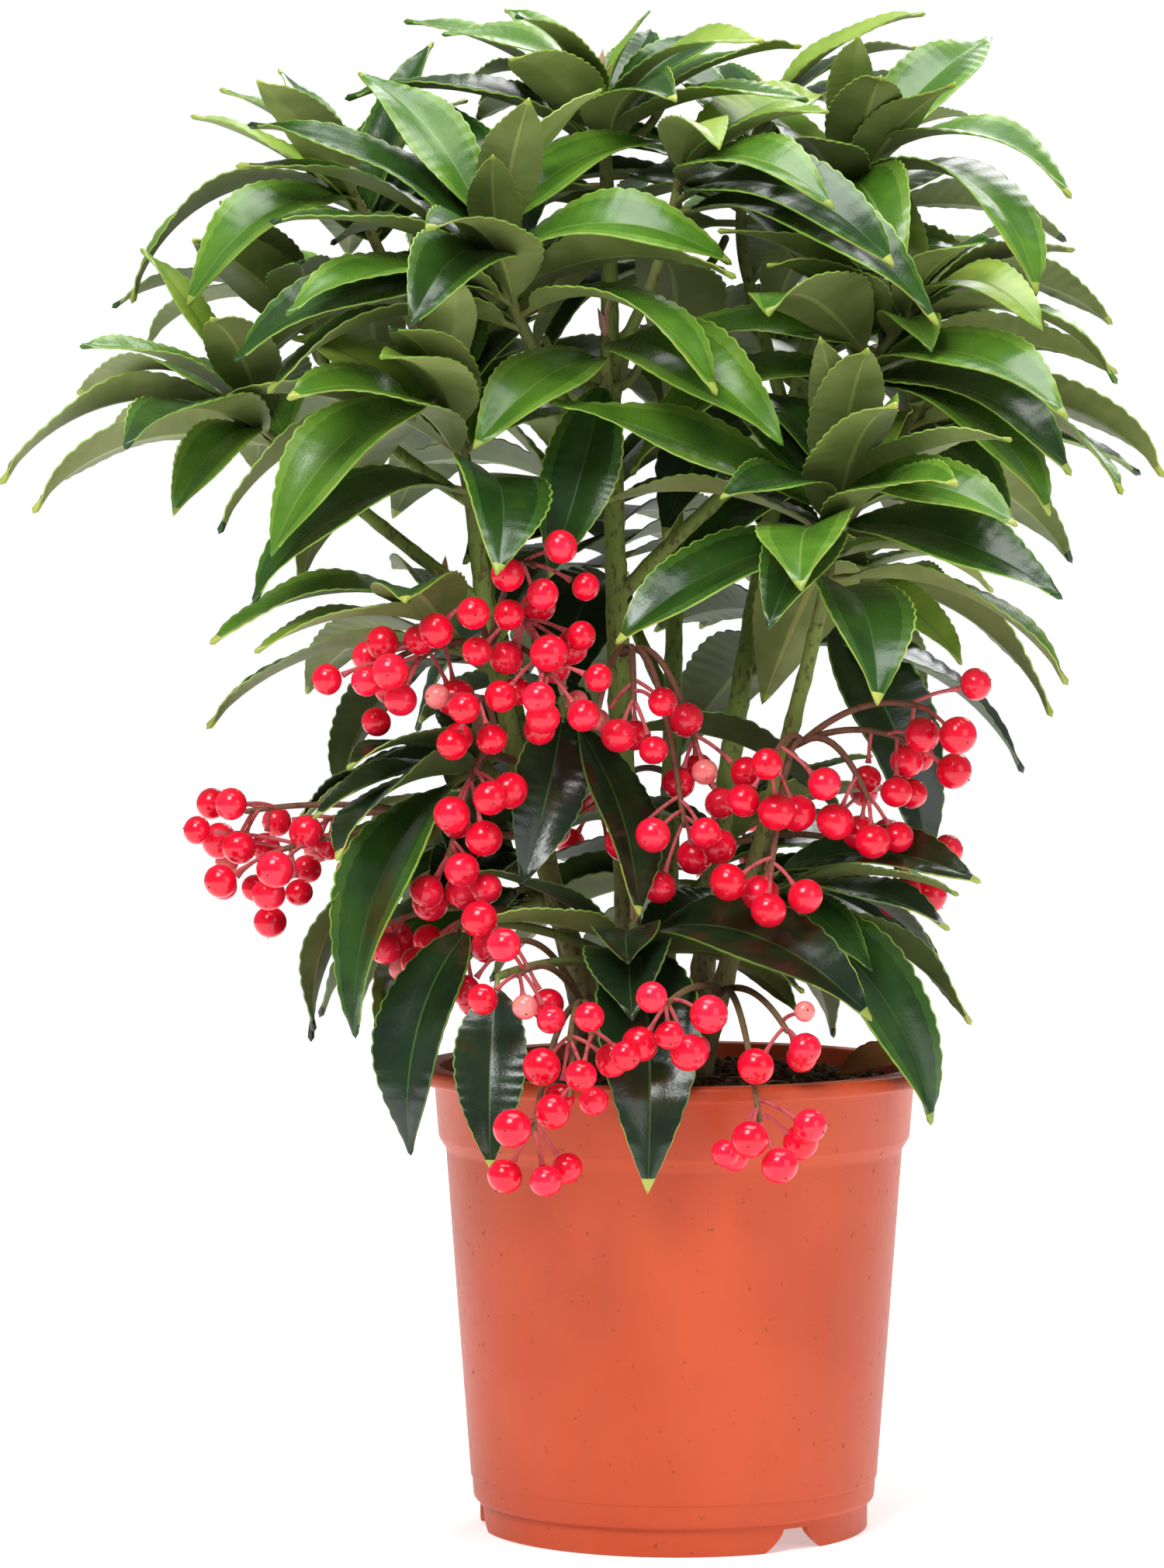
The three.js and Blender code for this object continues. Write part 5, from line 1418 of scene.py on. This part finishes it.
def swept_piece(name, paths, sides, finish):
    """One piece from paths, each a pair of points and radii in millimetres."""
    curve = bpy.data.curves.new(name + "_paths", "CURVE")
    curve.dimensions = "3D"
    for points, radii in paths:
        spline = curve.splines.new("POLY")
        spline.points.add(len(points) - 1)
        spline.points.foreach_set("co", np.c_[np.array(points) * MM, np.ones(len(points))].ravel())
        spline.points.foreach_set("radius", np.array(radii) * MM)
    return SWEEP.piece(name, add_object(name + "_maker", curve), {"Sides": sides, "Finish": finish})


SHOOT_PITCH = 2.5  # millimetres from one point of a path to the next
FEWEST_POINTS = 4
TWIG_OVERLAP = 1.2  # how far a twig runs back into its limb
ROOT_SHARE = 0.9  # how wide it is there, as a share of its radius
ROUND_TIP = [(0.45, 0.8), (0.75, 0.45), (0.85, 0.1)]  # how far past its end, how wide: shares of its radius


def limb_path(limb, pitch, back=0.0, swell=1.0):
    """A limb as a path whose tip is rounded, and which may start a little further back."""
    shares = np.linspace(0, 1, max(FEWEST_POINTS, round(limb.length / pitch) + 1))
    points = list(limb.at(shares))
    radii = [limb.radius(share) * swell for share in shares]
    if back:
        points.insert(0, points[0] - limb.heading(0) * back)
        radii.insert(0, radii[0] * ROOT_SHARE)
    for lift, share in ROUND_TIP:
        points.append(limb.at(1) + limb.heading(1) * limb.radii[1] * lift)
        radii.append(limb.radii[1] * swell * share)
    return points, radii


print("sweep tree nodes:", len(SWEEP.tree.nodes))

# %% Twigs, side twigs and berry stalks
twig_paths = []
for mass in MASSES:
    parts = grown[mass["name"]]
    twig_paths.append(limb_path(parts["twig"], SHOOT_PITCH, 0 if mass["height"] else TWIG_OVERLAP))
    twig_paths += [limb_path(side, SHOOT_PITCH) for side in parts["side_twigs"]]
twigs = swept_piece("young_twigs", twig_paths, sides=12, finish=TWIG_FINISH)
hand_over(twigs, list(grown))
STALK_SHOWN = 0.65  # a berry stalk is thinner than its solid
stalk_paths = []
for parts in sprays.values():
    for limb in (parts["stub"], *parts["peduncles"]):
        stalk_paths.append(limb_path(limb, SHOOT_PITCH, 0, STALK_SHOWN))
stalks = swept_piece("berry_stalks", stalk_paths, sides=10, finish=STALK_FINISH)
hand_over(stalks, list(sprays))
print("twigs:", len(twig_paths), "stalks:", len(stalk_paths))

# %% Pedicels
PEDICEL_SAG = 1.6
PEDICEL_POINTS = 9
PEDICEL_SWELL = {"foot": 1.1, "neck": 1.3}
BERRY_SEAT = 0.93  # where in its berry a pedicel ends, as a share of the radius
CALYX_RADIUS = 1.0
pedicel_paths = []
for parts in sprays.values():
    for root, point in parts["berries"]:
        heading = unit(point - root)
        reach = np.linalg.norm(point - root) - BERRY_RADIUS * BERRY_SEAT
        foot = root + heading * reach
        bend = (root + foot) / 2 + np.array([0, 0, PEDICEL_SAG])
        fine = Limb(root, bend, foot, (PEDICEL_RADIUS * PEDICEL_SWELL["foot"], PEDICEL_RADIUS))
        shares = np.linspace(0, 1, PEDICEL_POINTS)
        radii = [fine.radius(share) for share in shares]
        radii[-2:] = [PEDICEL_RADIUS * PEDICEL_SWELL["neck"], CALYX_RADIUS]
        pedicel_paths.append((fine.at(shares), radii))
pedicels = swept_piece("pedicels", pedicel_paths, sides=7, finish=PEDICEL_FINISH)
hand_over(pedicels, list(sprays))
print("pedicels:", len(pedicel_paths), "points:", len(pedicels.data.vertices))

# %% [markdown]
# ## Berries
# A berry is a smooth ball of about 10 mm, a little flattened along its stalk, with a tiny dark scar
# of the style at its far end. Most are ripe and red, and a few are still pink. They are one shape
# many times over, so a tree sets a ball on each point, turns it to its pedicel, and gives it one of
# three finishes by a number that each point carries.


# %% A tree that sets berries on points
def berry_tree():
    inputs = {"Segments": "Int", "Rings": "Int", "Flatness": "Vector"}
    inputs.update({f"Finish {number}": "Material" for number in range(len(BERRY_FINISHES))})
    tree = PieceTree("berries_on_points", inputs)
    ball = tree.shape("GeometryNodeMeshUVSphere",
                      {"Segments": tree.given["Segments"], "Rings": tree.given["Rings"], "Radius": 1.0})
    shaped = tree.shape("GeometryNodeTransform", {"Geometry": ball, "Scale": tree.given["Flatness"]})
    heading = tree.carried("heading", "FLOAT_VECTOR")
    turned = tree.shape("FunctionNodeAlignRotationToVector", {"Vector": heading}, {"axis": "Z"})
    flow = tree.shape("GeometryNodeInstanceOnPoints",
                      {"Points": tree.given["Start"], "Instance": shaped, "Rotation": turned,
                       "Scale": tree.carried("size", "FLOAT")})
    flow = tree.shape("GeometryNodeRealizeInstances", {"Geometry": flow})
    flow = tree.shape("GeometryNodeSetShadeSmooth", {"Geometry": flow})
    kind = tree.carried("kind", "INT")
    for number in range(len(BERRY_FINISHES)):
        chosen = tree.shape("FunctionNodeCompare", {2: kind, 3: number},
                            {"data_type": "INT", "operation": "EQUAL"})
        flow = tree.shape("GeometryNodeSetMaterial",
                          {"Geometry": flow, "Selection": chosen,
                           "Material": tree.given[f"Finish {number}"]})
    tree.end(flow)
    return tree


BERRY_TREE = berry_tree()
print("berry tree nodes:", len(BERRY_TREE.tree.nodes))

# %% The berries of each spray
RIPE, BRIGHT, PINK = range(3)
PINK_SHARE = 0.04
BRIGHT_SHARE = 0.45
PINK_SIZE = 0.7
BERRY_SIZES = (0.78, 1.06)
BERRY_FLATNESS = 0.94
BERRY_LOOK = {"Segments": 20, "Rings": 13, "Flatness": (1.0, 1.0, BERRY_FLATNESS)}
BERRY_LOOK.update({f"Finish {number}": finish for number, finish in enumerate(BERRY_FINISHES)})


def berry_piece(name, berries, draw):
    """The berries of a spray from a point for each, and how big each one is."""
    mesh = bpy.data.meshes.new(name + "_points")
    mesh.from_pydata([tuple(point * MM) for _, point in berries], [], [])
    headings = np.array([unit(point - root) for root, point in berries])
    sizes, kinds = [], []
    for _ in berries:
        chance = draw()
        kinds.append(PINK if chance < PINK_SHARE else BRIGHT if chance < BRIGHT_SHARE else RIPE)
        small = PINK_SIZE if kinds[-1] == PINK else 1.0
        sizes.append(BERRY_RADIUS * MM * between(BERRY_SIZES, draw()) * small)
    mesh.attributes.new("heading", "FLOAT_VECTOR", "POINT").data.foreach_set("vector", headings.ravel())
    mesh.attributes.new("size", "FLOAT", "POINT").data.foreach_set("value", sizes)
    mesh.attributes.new("kind", "INT", "POINT").data.foreach_set("value", kinds)
    return BERRY_TREE.piece(name, add_object(name + "_maker", mesh), BERRY_LOOK), sizes


scar_points, scar_faces = [], []
SCAR = {"radius": 0.42, "lift": 0.5, "edge": 0.2, "root": 0.4, "sides": 7, "beside": (0.2, 1, 0.4)}
for index, (name, parts) in enumerate(sprays.items()):
    piece, sizes = berry_piece("fruit_of_" + name, parts["berries"], seeded("fruit", index))
    hand_over(piece, [name])
    for (root, point), size in zip(parts["berries"], sizes):
        heading = unit(point - root)
        side = unit(np.cross(heading, SCAR["beside"]))
        front = np.cross(heading, side)
        pole = point + heading * size / MM * BERRY_FLATNESS
        start = len(scar_points)
        for cosine, sine in turns(SCAR["sides"]):
            out = side * cosine + front * sine
            scar_points.append(pole + out * SCAR["radius"] - heading * SCAR["edge"])
        scar_points += [pole + heading * SCAR["lift"], pole - heading * SCAR["root"]]
        for k in range(SCAR["sides"]):
            after = start + (k + 1) % SCAR["sides"]
            scar_faces.append((start + k, after, start + SCAR["sides"]))
            scar_faces.append((after, start + k, start + SCAR["sides"] + 1))
print("fruit pieces:", len(sprays), "scars:", len(scar_faces) // (2 * SCAR["sides"]))

# %% Scars of the styles
scar_finish = Finish("style_scar")
scar_grain = scar_finish.grain(0.5)
scar_look = scar_finish.paint(scar_finish.blend(tint(70, 30, 26), tint(104, 52, 38), scar_grain),
                              0.7 + scar_grain * 0.2)
scars = make_piece("style_scars", scar_points, scar_faces, [scar_look])
hand_over(scars, list(sprays))
print("scar piece faces:", len(scars.data.polygons))

# %% [markdown]
# ## Pot
# The pot is moulded in one shot: a rounded rim, an upper band that steps in to a tapering body, a
# faint line where the mould parts near the foot, and a foot ring with three drain notches. Its
# outline is turned on its axis, which a lathe of points does exactly, and the notches are cut by a
# Boolean. Edges stay sharp by angle.


# %% A body turned from its outline
def arc(centre, radius, start, stop, steps):
    """Points [radius, height] on an arc, between two angles in degrees."""
    angles = np.radians(np.linspace(start, stop, steps))
    return [(centre[0] + radius * math.cos(a), centre[1] + radius * math.sin(a)) for a in angles]


def turned_body(name, profile, segments, finish):
    """A closed profile turned round the Z axis. Its first and last points lie on the axis."""
    points = [(radius * cosine, radius * sine, height)
              for radius, height in profile[1:-1] for cosine, sine in turns(segments)]
    points += [(0, 0, profile[end][1]) for end in (0, -1)]
    return make_piece(name, points, ring_faces(len(profile) - 2, segments), [finish])


print("points on a quarter round:", len(arc((0, 0), 1, 0, 90, 7)))

# %% The pot's outline
POT_SEGMENTS = 128
CORNER = 1.2
MOULD_LINE = 14.6
BODY_MIDDLE_HEIGHT = 60
BODY_MIDDLE_RADIUS = between((BODY_FOOT_RADIUS, BODY_TOP_RADIUS), 0.5) + 0.25
rim_base = POT_HEIGHT - RIM_HEIGHT
pot_profile = [
    (0, 0), (PAD_RADIUS - 1, 0), (PAD_RADIUS, 0.4), (PAD_RADIUS + 2, FLOOR_UNDERSIDE),
    (FOOT_RADIUS - WALL - 1, FLOOR_UNDERSIDE), (FOOT_RADIUS - WALL, 0.3), (FOOT_RADIUS - WALL + 0.3, 0),
    (FOOT_RADIUS - 0.4, 0), (FOOT_RADIUS, 0.4), (FOOT_RADIUS, FOOT_HEIGHT - 0.1),
    *arc((BODY_FOOT_RADIUS - 2, FOOT_HEIGHT + 2), 2, -90, 0, 6),
    (BODY_FOOT_RADIUS + 0.35, MOULD_LINE), (BODY_FOOT_RADIUS + 0.75, MOULD_LINE + 0.5),
    (BODY_FOOT_RADIUS + 0.8, MOULD_LINE + 1.4), (BODY_MIDDLE_RADIUS, BODY_MIDDLE_HEIGHT),
    (BODY_TOP_RADIUS - 0.1, STEP_HEIGHT - 1),
    (BODY_TOP_RADIUS, STEP_HEIGHT), (BODY_TOP_RADIUS + 1.7, STEP_HEIGHT + 2.6),
    (BODY_TOP_RADIUS + 2.1, STEP_HEIGHT + 3.6), (BAND_RADIUS, rim_base - 1),
    (BAND_RADIUS + 0.4, rim_base - 0.3), (BAND_RADIUS + 1, rim_base),
    (RIM_RADIUS - 1.2, rim_base), *arc((RIM_RADIUS - CORNER, rim_base + CORNER), CORNER, -60, 0, 4),
    *arc((RIM_RADIUS - 2, POT_HEIGHT - 2), 2, 0, 90, 7),
    (BAND_RADIUS - WALL + 1.2, POT_HEIGHT), *arc((BAND_RADIUS - WALL + 1, POT_HEIGHT - 1), 1, 90, 180, 4),
    (BODY_TOP_RADIUS + 2 - WALL, STEP_HEIGHT + 3), (BODY_TOP_RADIUS - WALL, STEP_HEIGHT),
    (BODY_FOOT_RADIUS - WALL, FLOOR_UNDERSIDE + WALL), (0, FLOOR_UNDERSIDE + WALL),
]
pot = turned_body("pot_shell", pot_profile, POT_SEGMENTS, POT_FINISH)
print("points in the pot's outline:", len(pot_profile))

# %% Drain notches
POT_SHARP_ANGLE = 28
CUTTER_REACH = 6  # how far a notch is cut to each side of the foot's outside


def notch_outline():
    """A notch's outline from the ground up: its flanks curve in to a short level top."""
    rise = np.linspace(0, 1, NOTCH["steps"])
    flank = NOTCH["top"] / 2 + (NOTCH["foot"] - NOTCH["top"]) / 2 * (1 - rise) ** NOTCH["power"]
    heights = -1 + rise * (FLOOR_UNDERSIDE + 1)
    right = list(zip(flank, heights))
    return right + [(-x, z) for x, z in reversed(right)]


cutter_points, cutter_faces = [], []
for number in range(NOTCH["count"]):
    bearing = math.radians(NOTCH["first"] + number * 360 / NOTCH["count"])
    out = np.array([math.cos(bearing), math.sin(bearing), 0])
    level = np.array([-math.sin(bearing), math.cos(bearing), 0])
    shape = notch_outline()
    start = len(cutter_points)
    for distance in (FOOT_RADIUS - CUTTER_REACH, FOOT_RADIUS + CUTTER_REACH):
        cutter_points += [out * distance + level * x + np.array([0, 0, z]) for x, z in shape]
    size = len(shape)
    cutter_faces.append(tuple(start + k for k in reversed(range(size))))
    cutter_faces.append(tuple(start + size + k for k in range(size)))
    for k in range(size):
        after = (k + 1) % size
        cutter_faces.append((start + k, start + after, start + size + after, start + size + k))
cutter = make_piece("notch_cutter", cutter_points, cutter_faces, [POT_FINISH])
shell_cut = pot.modifiers.new("notches", "BOOLEAN")
shell_cut.operation = "DIFFERENCE"
shell_cut.object = cutter
shell_cut.solver = "EXACT"
pot = evaluated_piece(pot, "pot_body")
bpy.data.objects.remove(cutter)
pot.data.polygons.foreach_set("use_smooth", [True] * len(pot.data.polygons))
pot.data.set_sharp_from_angle(angle=math.radians(POT_SHARP_ANGLE))
hand_over(pot, ["pot"])
print("pot faces:", len(pot.data.polygons))

# %% [markdown]
# ## Soil
# The pot holds dark fibrous peat, a few millimetres below the rim and heaped a little at the
# middle. It is one bumpy closed body, with crumbs scattered on it and a few pale fibres. Scattering
# by hand would take hours, so a tree spreads the crumbs with a fixed seed.

# %% Bumpy body of peat
SOIL_RINGS = 34
SOIL_SEGMENTS = 110
SOIL_RADIUS = BODY_TOP_RADIUS + 2 - WALL - CLEAR
SOIL_RELIEF = 1.2
SOIL_LUMPS = [(9, 1, 0.4), (3.2, 0.6, 2.1), (1.3, 0.4, 5.7)]  # width, share and layer of each noise


def soil_height(x, y):
    out = math.hypot(x, y)
    fall = max(0, out - SOIL_FLAT_RADIUS) / (SOIL_RADIUS - SOIL_FLAT_RADIUS)
    level = SOIL_TOP - fall * (SOIL_TOP - SOIL_EDGE)
    lumps = [share * noise.noise(Vector((x / wide, y / wide, layer))) for wide, share, layer in SOIL_LUMPS]
    return level + SOIL_RELIEF * sum(lumps)


soil_points = [(0, 0, soil_height(0, 0))]
for ring in range(1, SOIL_RINGS + 1):
    for turn in turns(SOIL_SEGMENTS):
        x, y = (ring / SOIL_RINGS * SOIL_RADIUS * part for part in turn)
        soil_points.append((x, y, soil_height(x, y)))
soil_faces = [(0, 1 + k, 1 + (k + 1) % SOIL_SEGMENTS) for k in range(SOIL_SEGMENTS)]
for ring in range(SOIL_RINGS - 1):
    low = 1 + ring * SOIL_SEGMENTS
    high = low + SOIL_SEGMENTS
    for k in range(SOIL_SEGMENTS):
        after = (k + 1) % SOIL_SEGMENTS
        soil_faces.append((low + k, high + k, high + after, low + after))
crumb_bed = make_piece("crumb_bed", soil_points, list(soil_faces), [CRUMB_FINISH])
inside = WALL + CLEAR
foot = (BODY_FOOT_RADIUS - inside, FLOOR_UNDERSIDE + inside)
for radius, height in ((SOIL_RADIUS, STEP_HEIGHT + 3), (BODY_TOP_RADIUS - inside, STEP_HEIGHT), foot):
    low = len(soil_points) - SOIL_SEGMENTS
    for k, (cosine, sine) in enumerate(turns(SOIL_SEGMENTS)):
        after = (k + 1) % SOIL_SEGMENTS
        soil_points.append((radius * cosine, radius * sine, height))
        soil_faces.append((low + k, low + SOIL_SEGMENTS + k, low + SOIL_SEGMENTS + after, low + after))
low = len(soil_points) - SOIL_SEGMENTS
soil_points.append((0, 0, FLOOR_UNDERSIDE + inside))
soil_faces += [(len(soil_points) - 1, low + (k + 1) % SOIL_SEGMENTS, low + k) for k in range(SOIL_SEGMENTS)]
peat = make_piece("peat_body", soil_points, soil_faces, [PEAT_FINISH])
hand_over(peat, ["soil"])
print("peat points:", len(soil_points))


# %% A tree that scatters crumbs
TURN = 6.28
FULL_TURNS = (TURN, TURN, TURN)
CRUMB_NOISE = 420.0  # per metre


def crumb_tree():
    tree = PieceTree("crumbs_on_peat", {"Density": "Float", "Smallest": "Float", "Largest": "Float",
                                        "Roughness": "Float", "Seed": "Int", "Finish": "Material"})
    given = tree.given
    spots = tree.shape("GeometryNodeDistributePointsOnFaces",
                       {"Mesh": given["Start"], "Density": given["Density"], "Seed": given["Seed"]})
    lump = tree.shape("GeometryNodeMeshIcoSphere", {"Radius": 1.0, "Subdivisions": 2})
    size = tree.add("FunctionNodeRandomValue", {"data_type": "FLOAT"},
                    {2: given["Smallest"], 3: given["Largest"], "Seed": given["Seed"]}).outputs[1]
    spin = tree.shape("FunctionNodeRandomValue", {0: (0, 0, 0), 1: FULL_TURNS, "Seed": given["Seed"]},
                      {"data_type": "FLOAT_VECTOR"})
    flow = tree.shape("GeometryNodeInstanceOnPoints",
                      {"Points": spots, "Instance": lump, "Rotation": spin, "Scale": size})
    flow = tree.shape("GeometryNodeRealizeInstances", {"Geometry": flow})
    rough = tree.add("ShaderNodeTexNoise", None, {"Scale": CRUMB_NOISE, "Detail": 2.0}).outputs["Color"]
    centred = tree.shape("ShaderNodeVectorMath", {0: rough, 1: (0.5, 0.5, 0.5)}, {"operation": "SUBTRACT"})
    push = tree.shape("ShaderNodeVectorMath", {0: centred, "Scale": given["Roughness"]},
                      {"operation": "SCALE"})
    flow = tree.shape("GeometryNodeSetPosition", {"Geometry": flow, "Offset": push})
    tree.end(tree.shape("GeometryNodeSetMaterial", {"Geometry": flow, "Material": given["Finish"]}))
    return tree


CRUMB_LOOK = {"Density": 78000.0, "Smallest": 0.0005, "Largest": 0.0019, "Roughness": 0.0034, "Seed": 11,
              "Finish": CRUMB_FINISH}
crumbs = crumb_tree().piece("peat_crumbs", crumb_bed, CRUMB_LOOK)
hand_over(crumbs, ["soil"])
print("crumb faces:", len(crumbs.data.polygons))

# %% Fibres and a fallen leaf on the peat
FIBRE = {"count": 70, "spread": 58, "length": (5, 15), "edge": 3, "lift": 0.8, "bend": 4, "arch": 2,
         "radius": (0.2, 0.5), "taper": 0.6, "pitch": 1.5}
draw = seeded("fibre")
fibre_paths = []
for _ in range(FIBRE["count"]):
    out, turn, heading = draw() ** 0.5 * FIBRE["spread"], draw() * TURN, draw() * TURN
    reach = between(FIBRE["length"], draw())
    start = np.array([out * math.cos(turn), out * math.sin(turn), 0])
    end = start + reach * np.array([math.cos(heading), math.sin(heading), 0])
    if math.hypot(*end[:2]) > SOIL_RADIUS - FIBRE["edge"]:
        continue
    for point in (start, end):
        point[2] = soil_height(*point[:2]) + FIBRE["lift"]
    across, deep, up = ((draw() - 0.5) * FIBRE["bend"], (draw() - 0.5) * FIBRE["bend"],
                        FIBRE["lift"] + draw() * FIBRE["arch"])
    bend = (start + end) / 2 + np.array([across, deep, up])
    thick = between(FIBRE["radius"], draw())
    fibre_paths.append(limb_path(Limb(start, bend, end, (thick, thick * FIBRE["taper"])), FIBRE["pitch"]))
fibres = swept_piece("peat_fibres", fibre_paths, sides=6, finish=FIBRE_FINISH)
hand_over(fibres, ["soil"])
FALLEN_ROWS = 24
fallen = Leaf(base=(46, -22, 132.5), bearing=-8, slope=14, length=27, droop=80, roll=50)
scrap = joined_leaves("fallen_leaf", [(fallen, FALLEN_ROWS, "dry_leaf", False)])
hand_over(scrap, [])
print("fibres:", len(fibre_paths))

# %% [markdown]
# ## Measure
# The new pieces are measured together against the box of the solids, and the two sizes are kept.

# %% Measure and finish
seen_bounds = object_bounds()
sizes = {"cad": [list(corner) for corner in cad_bounds], "visual": [list(corner) for corner in seen_bounds]}
print("solids' box:", sizes["cad"])
print("visual box:", sizes["visual"])
print("grew by, in mm:", [round((a - b) / MM, 1) for a, b in zip(cad_bounds[0], seen_bounds[0])],
      [round((b - a) / MM, 1) for a, b in zip(cad_bounds[1], seen_bounds[1])])
